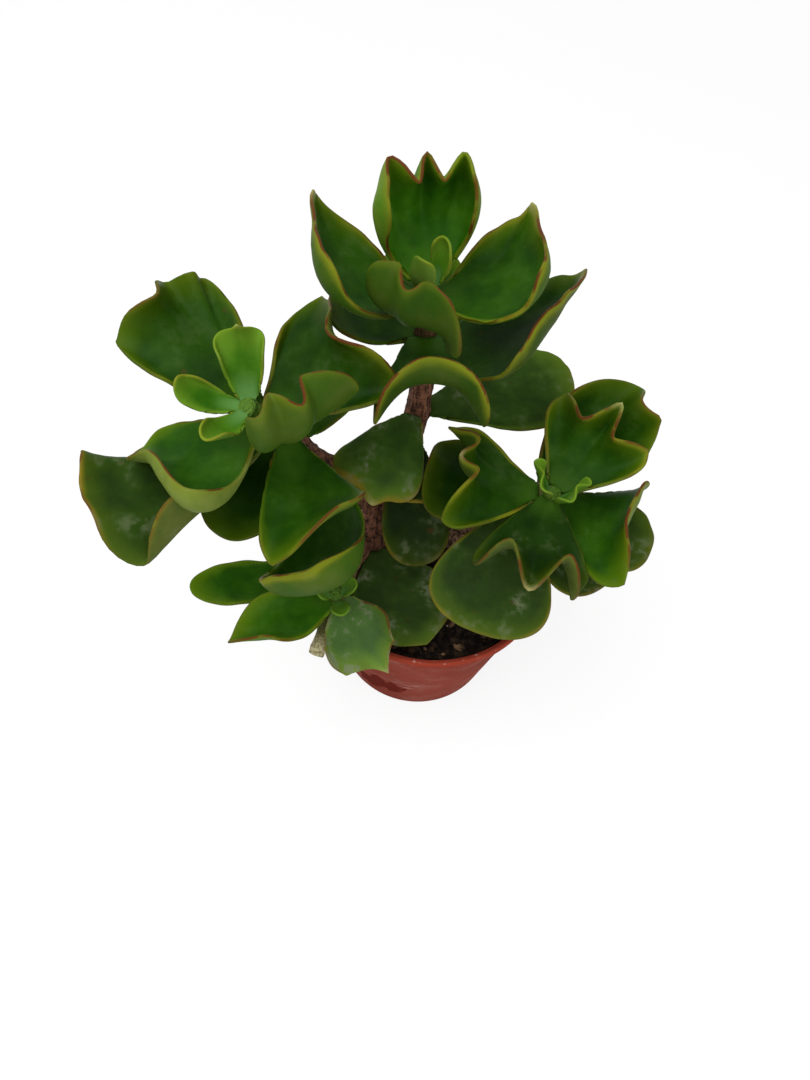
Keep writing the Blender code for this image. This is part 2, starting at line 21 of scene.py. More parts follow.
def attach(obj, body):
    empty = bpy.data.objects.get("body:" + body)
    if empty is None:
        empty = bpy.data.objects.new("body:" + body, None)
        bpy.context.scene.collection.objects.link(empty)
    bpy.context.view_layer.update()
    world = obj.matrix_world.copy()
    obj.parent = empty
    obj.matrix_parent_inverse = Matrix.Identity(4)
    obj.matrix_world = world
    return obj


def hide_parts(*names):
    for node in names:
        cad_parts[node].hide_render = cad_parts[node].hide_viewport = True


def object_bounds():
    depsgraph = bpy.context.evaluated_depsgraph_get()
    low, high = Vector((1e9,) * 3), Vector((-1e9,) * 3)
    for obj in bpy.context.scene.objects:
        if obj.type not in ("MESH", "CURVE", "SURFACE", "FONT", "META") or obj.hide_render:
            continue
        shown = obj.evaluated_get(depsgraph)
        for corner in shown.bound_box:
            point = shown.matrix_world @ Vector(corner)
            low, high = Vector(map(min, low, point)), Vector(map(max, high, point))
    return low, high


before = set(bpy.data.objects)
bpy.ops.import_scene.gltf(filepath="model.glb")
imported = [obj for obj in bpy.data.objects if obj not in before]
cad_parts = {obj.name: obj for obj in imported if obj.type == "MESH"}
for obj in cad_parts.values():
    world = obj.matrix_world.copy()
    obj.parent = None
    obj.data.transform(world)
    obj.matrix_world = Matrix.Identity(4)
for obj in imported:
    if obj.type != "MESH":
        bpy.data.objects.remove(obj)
CAD_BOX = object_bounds()

LOG = logging.getLogger("ripple_jade")
MM = 0.001

Colour = tuple[float, float, float]
Array = np.ndarray

# Leaves, in millimetres.
LEAF_THICKNESS = 2.8
LEAF_EDGE_THICKNESS = 1.2
YOUNG_THICKNESS = 1.8
YOUNG_EDGE_THICKNESS = 0.9
YOUNG_LENGTH = 31.0
NECK_HALF_WIDTH = 4.0
SEAT_GAP = 0.3

# Leaves: powers, shares of the edge, how far a base leans off its stem, and how many points.
THINNING_POWER = 0.8
ROLL_POWER = 2.6
OUTLINE_RISE = 1.2
TIP_POINT_SPREAD = 0.07
SPIKE_SPREAD = 0.045
FAN_REACH = 0.93
SEAT_LEAN = 0.9
VEINS = 97
INNER_RINGS = 20
RIM_RINGS = 6

# How finely the curves are worked out before the points above are read from them.
OUTLINE_SAMPLES = 161
VEIN_SAMPLES = 91
BEND_SAMPLES = 121
BEND_OVERRUN = 1.2

# Stems, in millimetres: points of the axis from the soil up, and the radius at each.
STEMS: dict[str, tuple[list[tuple[float, float, float]], list[float]]] = {
    "top": (
        [(-28, 5, 61), (-28, 5, 75), (-25, 12, 100), (-16, 26, 132), (-14, 30, 160), (-16, 22, 213)],
        [7.5, 7.0, 6.0, 4.8, 4.4, 2.4],
    ),
    "left": (
        [(-25, 11, 98), (-38, 9, 118), (-51, 1, 142), (-60, -8, 166), (-67, -18, 190)],
        [5.0, 4.8, 4.4, 4.2, 2.4],
    ),
    "stub": (
        [(-28, 6, 82), (-33, -14, 89), (-36, -32, 94), (-39, -48, 91), (-41, -55, 86)],
        [4.0, 3.4, 3.3, 3.2, 3.2],
    ),
    "low": ([(-36, -30, 94), (-36, -34, 100), (-36, -37, 106)], [2.8, 2.6, 2.0]),
    "right": (
        [(13, 13, 61), (13, 13, 75), (20, 20, 96), (28, 13, 118), (36, 2, 136), (40, -5, 149)],
        [7.5, 7.0, 5.6, 4.6, 4.2, 1.9],
    ),
}

# The share of each stem's length at which its bark turns green, and the stem that was cut off.
GREEN_FROM = {"top": 0.93, "left": 0.85, "stub": 0.35, "low": 0.2, "right": 0.9}
CUT_STEM = "stub"

# How many points a stem's skin has between two points of its axis and round it, and how many
# the leaves' seats are read from.
STEM_STEPS = 26
STEM_SIDES = 72
SEAT_STEPS = 5

# Two corners of the twenty-sided ball of radius 1 nearer than this are next to each other.
NEXT_CORNER = 1.1


class Age(Enum):
    """How old a leaf is, which sets its finish."""

    BUD = "bud"
    YOUNG = "young"
    PRIME = "prime"
    OLD = "old"


@dataclass(frozen=True)
class LeafSkin:
    """The finish of one leaf: waxy green skin with a pale band and a red-brown line at its margin.

    Colours are linear, shares go from 0 to 1, band_width is in millimetres and relief in metres.
    """

    deep: Colour
    body: Colour
    # bright: painted light, the green that the face turns to towards the margin; also the pale specks'
    # colour.
    bright: Colour
    band: Colour
    line: Colour
    under: Colour
    base: Colour
    gold: float
    band_width: float
    edging: float
    dust: float
    specks: float
    scars: float
    base_reach: float = 0.30
    # shade scales the greens: painted light above 1 and painted shade below 1, partly the leaf's own
    # tone.
    shade: float = 1.0
    frost: float = 0.1
    gloss_roughness: float = 0.33
    specular: float = 0.035
    relief: float = 0.00018
    frosted: Colour = (0.185, 0.215, 0.045)
    dusted: Colour = (0.150, 0.170, 0.100)
    scarred: Colour = (0.050, 0.030, 0.008)
    tip: Colour = (0.330, 0.310, 0.120)


SKINS: dict[Age, LeafSkin] = {
    Age.BUD: LeafSkin(
        deep=(0.035, 0.100, 0.004), body=(0.055, 0.150, 0.008), bright=(0.090, 0.200, 0.014),
        band=(0.150, 0.240, 0.018), line=(0.160, 0.190, 0.020), under=(0.080, 0.170, 0.018),
        base=(0.100, 0.220, 0.050), gold=0.4, band_width=1.5, edging=0.1, dust=0.0, specks=0.2,
        scars=0.0, base_reach=0.6, gloss_roughness=0.36,
    ),
    Age.YOUNG: LeafSkin(
        deep=(0.018, 0.080, 0.002), body=(0.045, 0.135, 0.004), bright=(0.085, 0.175, 0.010),
        band=(0.170, 0.220, 0.012), line=(0.150, 0.085, 0.012), under=(0.085, 0.150, 0.018),
        base=(0.085, 0.200, 0.050), gold=0.6, band_width=2.2, edging=0.35, dust=0.02, specks=0.4,
        scars=0.03, base_reach=0.45,
    ),
    Age.PRIME: LeafSkin(
        deep=(0.007, 0.036, 0.0008), body=(0.020, 0.070, 0.0015), bright=(0.052, 0.104, 0.002),
        band=(0.128, 0.150, 0.007), line=(0.080, 0.026, 0.006), under=(0.046, 0.086, 0.005),
        base=(0.034, 0.095, 0.006), gold=0.5, band_width=4.8, edging=0.9, dust=0.03, specks=0.3,
        scars=0.10,
    ),
    Age.OLD: LeafSkin(
        deep=(0.007, 0.022, 0.001), body=(0.019, 0.048, 0.002), bright=(0.036, 0.068, 0.003),
        band=(0.160, 0.130, 0.008), line=(0.085, 0.034, 0.007), under=(0.050, 0.064, 0.006),
        base=(0.026, 0.060, 0.006), gold=0.45, band_width=3.0, edging=0.5, dust=0.22, specks=0.35,
        scars=0.40, gloss_roughness=0.42,
    ),
}


@dataclass(frozen=True)
class Leaf:
    """One leaf.  Angles in degrees, lengths in millimetres.

    place is the share of the stem below the leaf; azimuth turns from +X towards +Y; rise is the
    slope at the base; curl lists how far the margin rolls up, evenly spaced along the edge from
    the right-hand base round the tip to the left-hand base.  roll turns the blade about its own
    midrib, bend curves it upwards, fold cups it across and sweep bows it sideways.
    neck is half the width at the base, point the length of the tip's little spike, and taper how
    slender the far end is.  skew above 0 widens the right-hand half.  ease sets how late the
    margin starts to roll.  slide is extra clearance from the stem.  The rest is the leaf's
    finish: its age, and the gold, dust, scars, edging, frost and band_width that aren't its age's.
    shade, where given, scales its greens: painted light on leaves in the light and painted shade
    on those under others, and partly the leaf's own tone.  spikes lists extra pointed horns:
    where along the edge, and how long.
    """

    stem: str
    place: float
    azimuth: float
    rise: float
    length: float
    width: float
    curl: tuple[float, ...]
    roll: float = 0.0
    bend: float = 0.0
    fold: float = 0.0
    sweep: float = 0.0
    neck: float = NECK_HALF_WIDTH
    point: float = 0.0
    taper: float = 0.5
    skew: float = 0.0
    ease: float = ROLL_POWER
    slide: float = 0.0
    age: Age = Age.PRIME
    gold: float | None = None
    dust: float | None = None
    scars: float | None = None
    edging: float | None = None
    # Painted light and shade on this leaf's greens, partly its own tone.
    shade: float | None = None
    frost: float | None = None
    band_width: float | None = None
    spikes: tuple[tuple[float, float], ...] = ()


# Curls that several leaves share.
BUD_CURL = (0, 20, 30, 20, 30, 20, 0)
HORNED_CURL = (0, 20, 40, 0, 50, 0, 40, 20, 0)
SPOON_CURL = (0, 10, 20, 30, 20, 30, 20, 10, 0)
CUP_CURL = (0, 10, 20, 30, 40, 30, 20, 10, 0)
TONGUE_CURL = (0, 10, 20, 20, 20, 20, 20, 10, 0)
WAVY_CURL = (0, 20, 40, 40, 20, 50, 20, 50, 20, 40, 40, 20, 0)

LEAVES: dict[str, Leaf] = {
    "top_leaf_back": Leaf(
        "top", 0.985, 107, 34, 42, 56,
        (0, 30, 80, 115, 120, 105, 80, 130, 85, 130, 80, 105, 120, 115, 80, 30, 0), bend=10,
        fold=25, taper=0.45, ease=2, spikes=((-0.25, 2), (0, 1.5), (0.25, 2)), gold=0.5, shade=1.9,
        frost=0.15,
    ),
    "top_leaf_front": Leaf(
        "top", 0.975, -105, -1, 36, 40, (0, 30, 60, 100, 130, 140, 95, 120, 90, 20, -30, -30, 0),
        bend=25, taper=0.4, ease=1.6, slide=0.3, gold=0.3, frost=0.05, shade=0.65,
    ),
    "top_leaf_right": Leaf(
        "top", 0.955, 27, 4, 42, 45, (0, 30, 70, 115, 120, 105, 75, 60, 50, 50, 40, 20, 0),
        sweep=38, point=5, taper=0.7, skew=0.6, ease=2, gold=0.9,
    ),
    "top_leaf_left": Leaf(
        "top", 0.955, 174, 4, 46, 43, (0, 20, 40, 50, 50, 60, 80, 105, 120, 115, 80, 40, 0),
        sweep=-36, point=5, taper=0.7, skew=-0.55, ease=2, gold=0.7, shade=0.9,
    ),
    "top_leaf_lower_right": Leaf(
        "top", 0.8, 5, 14, 59, 50, (0, 20, 60, 100, 110, 80, 30, 20, 10, 10, 0, 0, 0), bend=10,
        sweep=34, taper=1.1, skew=0.35, gold=0.9, scars=0.3, shade=0.6, frost=0.15,
    ),
    "top_leaf_lower_left": Leaf(
        "top", 0.835, 172, 4, 33, 32, (0, 20, 30, 40, 50, 50, 50, 40, 30, 0, 0), fold=10, gold=0.2,
        shade=0.7,
    ),
    "top_leaf_lower_front": Leaf(
        "top", 0.85, -81, 4, 40, 39, (0, 0, 0, 0, 10, 110, 140, 110, 10, 0, 0, 0, 0), bend=-5,
        fold=-35, neck=7, taper=0.35, gold=0.9, frost=0.05, edging=1.1, shade=0.62,
    ),
    "top_bud_right": Leaf(
        "top", 1, 45, 72, 16, 10, BUD_CURL, bend=10, fold=30, neck=2.4, age=Age.YOUNG,
    ),
    "top_bud_left": Leaf(
        "top", 1, 240, 72, 15, 10, BUD_CURL, bend=10, fold=30, neck=2.4, age=Age.YOUNG,
    ),
    "left_leaf_back": Leaf(
        "left", 0.925, 126, 14, 52, 38,
        (0, 5, 10, 15, 20, 20, 15, 10, 5, 0, 0, -5, 45, -10, 110, 90, 20, 0, 10, 20, 30, 20, 10, 5, 0),
        bend=5, point=-2, taper=0.6, skew=-0.55, ease=4.5, spikes=((0.083, 2.5), (0.42, 2.5)),
        gold=0.4, scars=0.5, edging=0.6, shade=0.72,
    ),
    "left_young_back": Leaf(
        "left", 0.98, 110, 40, 23, 17, (0, 20, 30, 0, 60, 0, 30, 20, 0), fold=30, neck=3, point=2,
        taper=0.4, age=Age.YOUNG,
    ),
    "left_young_side": Leaf(
        "left", 0.985, 180, 2, 24, 11, (0, 20, 60, 60, 60, 20, 0, 0, 0), bend=20, fold=20, neck=2.4,
        slide=0.3, age=Age.YOUNG,
    ),
    "left_young_front": Leaf(
        "left", 1, -116, 4, 20, 12, (0, 20, 60, 40, 60, 20, 0), bend=10, fold=20, neck=2,
        age=Age.YOUNG,
    ),
    "left_leaf_right": Leaf(
        "left", 0.955, -40, 10, 41, 46, (0, 40, 90, 120, 120, 150, 110, 140, 110, 60, 50, 30, 0),
        taper=0.35, skew=-0.1, ease=1.6, slide=0.3, spikes=((0.58, 3),), gold=0.3, edging=1.1,
        shade=0.85,
    ),
    "left_leaf_inner": Leaf(
        "left", 0.9, 46, 13, 41, 50, (0, 10, 20, 20, 20, 120, 130, 70, 10, 10, 40, 20, 0),
        taper=0.35, spikes=((0.333, 3),), gold=0.7, frost=0.4, shade=0.6, edging=1.1,
    ),
    "left_leaf_front": Leaf(
        "left", 0.885, -148, -25, 45, 54, (0, 10, 10, 10, 0, 60, 150, 170, 170, 150, 100, 30, 0),
        taper=0.45, skew=-0.3, ease=3.2, spikes=((-0.333, 2),), gold=0.4, frost=0.75, shade=1.2,
        edging=1.1,
    ),
    "left_leaf_far": Leaf(
        "left", 0.78, -152, -20, 66, 46, (0, 0, 0, 10, -10, 80, 60, 70, 0, 100, 60, 20, 0),
        taper=0.35, skew=-0.15, spikes=((-0.333, 2),), age=Age.OLD, gold=0.8, shade=1.1, frost=0.4,
        edging=0.8,
    ),
    "left_leaf_under": Leaf(
        "left", 0.73, -112, -22, 38, 26, SPOON_CURL, slide=-0.7, gold=0.15, shade=0.5,
    ),
    "left_leaf_lower_front": Leaf(
        "left", 0.76, -54, -18, 43, 39, (0, 0, 10, 20, 20, 80, 110, 110, 90, 30, 10, 0, 0),
        taper=0.35, skew=0.2, spikes=((-0.333, 2.5),), gold=0.8, shade=0.9,
    ),
    "left_leaf_lowest_front": Leaf(
        "left", 0.52, -55, -34, 74, 54, (0, 0, 40, 110, 150, 170, 170, 165, 150, 110, 50, 10, 0),
        roll=48, taper=0.4, skew=0.1, ease=2, gold=1.3, shade=0.95, band_width=5,
    ),
    "left_leaf_low_side": Leaf(
        "stub", 0.42, -163, -3, 60, 19, TONGUE_CURL, neck=4, slide=1.4, gold=0.5, shade=1.3,
    ),
    "right_leaf_back": Leaf(
        "right", 0.97, 54, 20, 32, 42, (0, 20, 30, 30, 20, 105, 40, 110, 20, 30, 30, 20, 0),
        bend=10, point=6, taper=0.35, skew=-0.05, spikes=((-0.333, 2), (0, 3), (0.333, 2.5)),
        gold=1.2, frost=0.5, shade=0.9,
    ),
    "right_leaf_far_back": Leaf(
        "right", 0.84, 58, 22, 53, 38, (0, 10, 20, 50, 20, 10, 50, 0, 30, 60, 60, 30, 0), bend=25,
        sweep=-45, taper=0.7, spikes=((-0.1, 5),), gold=0.6, shade=0.8,
    ),
    "right_leaf_left": Leaf(
        "right", 0.93, 182, 4, 38, 44, (0, 20, 30, 30, 10, 110, 85, 110, 0, 20, 20, 10, 0), bend=10,
        point=3, taper=0.35, slide=0.6, spikes=((-0.333, 2.5), (0.333, 2)), gold=1.6, shade=0.7,
    ),
    "right_leaf_lower_left": Leaf(
        "right", 0.84, 176, -9, 40, 38, (0, 20, 40, 30, 20, 50, 50, 40, 20, 10, 10, 0, 0), fold=10,
        taper=0.4, slide=0.7, gold=0.4, shade=0.5,
    ),
    "right_leaf_right": Leaf(
        "right", 0.87, -26, 0, 42, 46, (0, 0, 0, 0, 10, 100, 120, 120, 100, 10, 0, 0, 0), bend=10,
        fold=10, taper=0.35, slide=0.5, spikes=((-0.333, 3.5), (0.5, 1.5)), gold=0.9, frost=0.6,
        edging=1.1, shade=1.05,
    ),
    "right_leaf_front": Leaf(
        "right", 0.975, -99, -4, 38, 42, (0, 0, 10, 10, 20, 110, 30, 110, -20, 10, 10, 0, 0),
        fold=-30, point=4, taper=0.35, gold=0.2, dust=0.1, frost=0.3, shade=0.45,
    ),
    "right_leaf_lower_front": Leaf(
        "right", 0.78, -104, -32, 54, 48, CUP_CURL, age=Age.OLD, dust=0.42, gold=0.8, shade=1.15,
    ),
    "right_leaf_lower_right": Leaf("right", 0.7, -38, -18, 46, 34, CUP_CURL, age=Age.OLD, dust=0.5),
    "right_bud_left": Leaf(
        "right", 1, 192, 58, 15, 16, HORNED_CURL, fold=20, neck=2.2, taper=0.4, slide=-0.6,
        age=Age.YOUNG, shade=1.1, gold=0.3,
    ),
    "right_bud_right": Leaf(
        "right", 1, -42, 60, 15, 16, HORNED_CURL, fold=20, neck=2.4, taper=0.4, slide=0.3,
        age=Age.YOUNG, shade=1.1, gold=0.3,
    ),
    "middle_leaf_right": Leaf(
        "top", 0.56, 26, -4, 62, 40, (0, 0, 0, 10, 30, 20, 10, 0, 0), age=Age.OLD, gold=0.3,
        dust=0.3, shade=1.55,
    ),
    "middle_leaf_left": Leaf(
        "top", 0.56, -106, 0, 36, 37, (0, 0, -10, 0, 10, 10, 0, -20, -30, -30, -20, 0, 0), bend=-26,
        fold=-20, point=4, taper=0.35, skew=0.2, slide=0.3, age=Age.OLD, gold=5, band_width=5,
        shade=1.9, dust=0.5, scars=0,
    ),
    "middle_leaf_front": Leaf(
        "top", 0.48, -77, -45, 50, 27, SPOON_CURL, age=Age.OLD, scars=0.9, shade=0.6,
    ),
    "low_leaf_left": Leaf(
        "low", 0.7, -145, -12, 42, 26, (0, 20, 30, 20, 40, 90, 60, 20, 0), fold=10, taper=0.8,
        spikes=((0, 2),), gold=0.6, shade=1.4,
    ),
    "low_leaf_front": Leaf(
        "low", 0.6, -47, -15, 29, 32, (0, 20, 30, 20, 20, 100, 110, 80, 0), bend=-10, fold=10,
        point=2, taper=0.6, skew=0.2, spikes=((-0.3, 1.5), (0, 3.5), (0.22, 3)), gold=0.4, dust=2,
        shade=1.7, frost=0.5,
    ),
    "right_leaf_under": Leaf("right", 0.76, -14, -12, 50, 34, TONGUE_CURL, age=Age.OLD, scars=1.2),
    "middle_leaf_low": Leaf(
        "left", 0.38, -4, -14, 42, 15, (0, 10, 30, 40, 20, 20, 10, 10, 0), point=3, slide=0.8,
        age=Age.OLD, gold=2.6, band_width=9, shade=1.3,
    ),
    "soil_leaf": Leaf(
        "top", 0.11, -58, 0, 51, 44, (0, 0, 10, 20, 20, 10, 20, 20, 10, 0, 0, 0, 0), taper=0.9,
        age=Age.OLD, dust=0.6, shade=1.4,
    ),
    "low_bud_right": Leaf("low", 1, 20, 50, 9, 7, BUD_CURL, fold=20, neck=1.8, age=Age.BUD),
    "low_bud_left": Leaf("low", 1, 200, 50, 9, 7, BUD_CURL, fold=20, neck=1.8, age=Age.BUD),
    "low_bud_back": Leaf("low", 0.82, 110, 40, 12, 9, BUD_CURL, fold=20, neck=1.8, age=Age.BUD),
    "low_bud_front": Leaf("low", 0.82, -70, 30, 11, 8, BUD_CURL, fold=20, neck=1.8, age=Age.BUD),
    "top_leaf_lower_back": Leaf("top", 0.79, 100, 8, 38, 32, WAVY_CURL),
    "middle_leaf_back": Leaf("top", 0.66, 82, 4, 36, 32, WAVY_CURL),
    "left_leaf_lower_back": Leaf("left", 0.62, 72, 0, 27, 24, WAVY_CURL, slide=0.3),
}


def smooth_step(low: float, high: float, values: Array) -> Array:
    """A smooth rise from 0 at low to 1 at high: 3t^2 - 2t^3 of the clamped share t."""
    share = np.clip((values - low) / (high - low), 0.0, 1.0)
    return share * share * (3 - 2 * share)


def smooth_through(stations: Array, values: Array, at: Array) -> Array:
    """A smooth curve through values: on each stretch the cubic with the slopes of its two ends.

    Args:
        stations: Where the values are known, rising.
        values: The value at each station.
        at: Where to read the curve.

    Returns:
        The curve at those places.
    """
    stations = np.asarray(stations, float)
    values = np.asarray(values, float)
    slopes = np.gradient(values, stations)
    cell = np.clip(np.searchsorted(stations, at) - 1, 0, len(stations) - 2)
    size = stations[cell + 1] - stations[cell]
    t = (at - stations[cell]) / size
    start = (2 * t**3 - 3 * t**2 + 1) * values[cell] + (t**3 - 2 * t**2 + t) * size * slopes[cell]
    end = (3 * t**2 - 2 * t**3) * values[cell + 1] + (t**3 - t**2) * size * slopes[cell + 1]
    return start + end


def running_sum(values: Array, step: float) -> Array:
    """The integral up to each row of values, by middles, where rows are a step apart."""
    middles = (values[1:] + values[:-1]) / 2
    return np.concatenate([np.zeros_like(values[:1]), np.cumsum(middles * step, axis=0)])


def ripples(points: Array, wavelength: float, seed: int, waves: int = 7) -> Array:
    """A soft random unevenness: the mean of sine waves that run in seeded directions.

    Args:
        points: Places in millimetres, with three columns.
        wavelength: The typical length of a wave, in millimetres.
        seed: Which pattern.
        waves: How many sine waves are added.

    Returns:
        Values from about -1 to 1, one for each place.
    """
    chance = np.random.default_rng(seed)
    heading = chance.normal(size=(3, waves))
    heading /= np.linalg.norm(heading, axis=0)
    pace = math.tau / wavelength * chance.uniform(0.7, 1.5, waves)
    phase = chance.uniform(0, math.tau, waves)
    return np.sin(points @ heading * pace + phase).sum(axis=-1) / math.sqrt(waves)


def bent_line(share: Array, bend: float, size: float) -> tuple[Array, Array, Array]:
    """Where a straight strip lies once its slope grows evenly: the slope is bend * share.

    Args:
        share: How far along the strip each point is.
        bend: The slope at the strip's end, in degrees.
        size: The strip's length.

    Returns:
        The distance along, the height and the slope in radians at each point.
    """
    table = np.linspace(0.0, BEND_OVERRUN, BEND_SAMPLES)
    slope = np.radians(bend * table)
    along = running_sum(np.cos(slope), table[1] - table[0]) * size
    above = running_sum(np.sin(slope), table[1] - table[0]) * size
    inside = np.clip(share, 0.0, BEND_OVERRUN)
    back = np.minimum(share, 0.0) * size
    along_here = np.interp(inside, table, along) + back
    return along_here, np.interp(inside, table, above), np.radians(bend * inside)


def grid_normals(sheet: Array) -> Array:
    """Unit normals of a grid of points: the cross product of its steps along and across."""
    normals = np.cross(np.gradient(sheet, axis=0), np.gradient(sheet, axis=1))
    return normals / np.maximum(np.linalg.norm(normals, axis=-1, keepdims=True), 1e-9)


def grid_quads(index: Array) -> Array:
    """The four corners of every cell of a grid of point numbers, in turning order."""
    corners = [index[:-1, :-1], index[1:, :-1], index[1:, 1:], index[:-1, 1:]]
    return np.stack(corners, axis=-1).reshape(-1, 4)


def add_object(name: str, data: bpy.types.ID) -> bpy.types.Object:
    """Make an object that shows a mesh, lamp or camera, and link it to the scene.

    Args:
        name: The object's name.
        data: The mesh, lamp or camera.

    Returns:
        The object, at the origin.
    """
    item = bpy.data.objects.new(name, data)
    bpy.context.scene.collection.objects.link(item)
    return item


@dataclass
class Surface:
    """A closed surface being made: its points in millimetres, faces and shading attributes."""

    points: Array
    quads: Array
    triangles: Array
    marks: dict[str, Array] = field(default_factory=dict)

    def piece(
        self, name: str, material: bpy.types.Material, slot: str, stands_for: str = ""
    ) -> bpy.types.Object:
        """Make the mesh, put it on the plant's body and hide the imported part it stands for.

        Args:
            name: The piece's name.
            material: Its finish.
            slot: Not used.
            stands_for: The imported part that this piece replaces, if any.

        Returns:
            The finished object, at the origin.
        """
        mesh = bpy.data.meshes.new(name)
        faces = self.quads.tolist() + self.triangles.tolist()
        mesh.from_pydata((self.points * MM).tolist(), [], faces)
        mesh.shade_smooth()
        for mark, values in self.marks.items():
            layer = mesh.attributes.new(mark, "FLOAT", "POINT")
            layer.data.foreach_set("value", np.ascontiguousarray(values, np.float32).ravel())
        mesh.materials.append(material)
        mesh.update()
        item = add_object(name, mesh)
        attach(item, "root")
        if stands_for:
            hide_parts(stands_for)
        LOG.info("%s: %d faces", name, len(faces))
        return item


def closed_round(rings: Array) -> Surface:
    """A closed skin over rings of points: quads between rings and a fan to a pole at each end.

    The first and the last ring shrink to their own middle.  Rings run so that, seen from the
    last pole, their points turn counterclockwise.

    Args:
        rings: Points, rings by places by 3.

    Returns:
        The closed surface.
    """
    rows, sides = rings.shape[:2]
    index = np.arange(rows * sides).reshape(rows, sides)
    wrapped = np.concatenate([index, index[:, :1]], axis=1)
    low, high = rows * sides, rows * sides + 1
    poles = np.stack([rings[0].mean(axis=0), rings[-1].mean(axis=0)])
    turned = np.roll(index[0], -1)
    bottom = np.stack([np.full(sides, low), turned, index[0]], axis=1)
    top = np.stack([np.full(sides, high), index[-1], np.roll(index[-1], -1)], axis=1)
    return Surface(
        points=np.concatenate([rings.reshape(-1, 3), poles]),
        quads=grid_quads(wrapped)[:, ::-1],
        triangles=np.concatenate([bottom, top]),
    )


def joined(surfaces: list[Surface]) -> Surface:
    """Several closed surfaces as one, with their shading attributes.

    Args:
        surfaces: The surfaces, all with the same attributes.

    Returns:
        One surface that holds them all.
    """
    starts = np.cumsum([0] + [len(each.points) for each in surfaces[:-1]])
    return Surface(
        points=np.concatenate([each.points for each in surfaces]),
        quads=np.concatenate([each.quads + start for each, start in zip(surfaces, starts)]),
        triangles=np.concatenate([each.triangles + start for each, start in zip(surfaces, starts)]),
        marks={
            mark: np.concatenate([each.marks[mark] for each in surfaces])
            for mark in surfaces[0].marks
        },
    )


def stem_axis(name: str, steps: int) -> tuple[Array, Array]:
    """A stem's smooth axis and its radius, with the given number of steps between its points.

    Args:
        name: The stem's name in STEMS.
        steps: How many steps lie between two of its points.

    Returns:
        The points of the axis and the radius at each, in millimetres.
    """
    points, radii = STEMS[name]
    knots = np.arange(len(points), dtype=float)
    places = np.linspace(0, len(points) - 1, steps * (len(points) - 1) + 1)
    columns = [smooth_through(knots, column, places) for column in np.transpose(points)]
    return np.stack(columns, axis=1), np.interp(places, knots, radii)


def run_along(axis: Array) -> Array:
    """The distance from the start of a line of points to each of them."""
    steps = np.linalg.norm(np.diff(axis, axis=0), axis=1)
    return np.concatenate([[0.0], np.cumsum(steps)])


def stem_place(name: str, share: float) -> tuple[Array, float, Array]:
    """The middle, the radius and the direction of a stem at a share of its length.

    Args:
        name: The stem's name in STEMS.
        share: How far up the stem, from 0 to 1.

    Returns:
        The point on the axis, the radius there and the unit direction of growth.
    """
    axis, radii = stem_axis(name, SEAT_STEPS)
    run = run_along(axis)
    at = share * run[-1]
    middle = np.array([np.interp(at, run, column) for column in axis.T])
    after = int(np.clip(np.searchsorted(run, at), 1, len(run) - 1))
    direction = axis[after] - axis[after - 1]
    return middle, float(np.interp(at, run, radii)), direction / np.linalg.norm(direction)


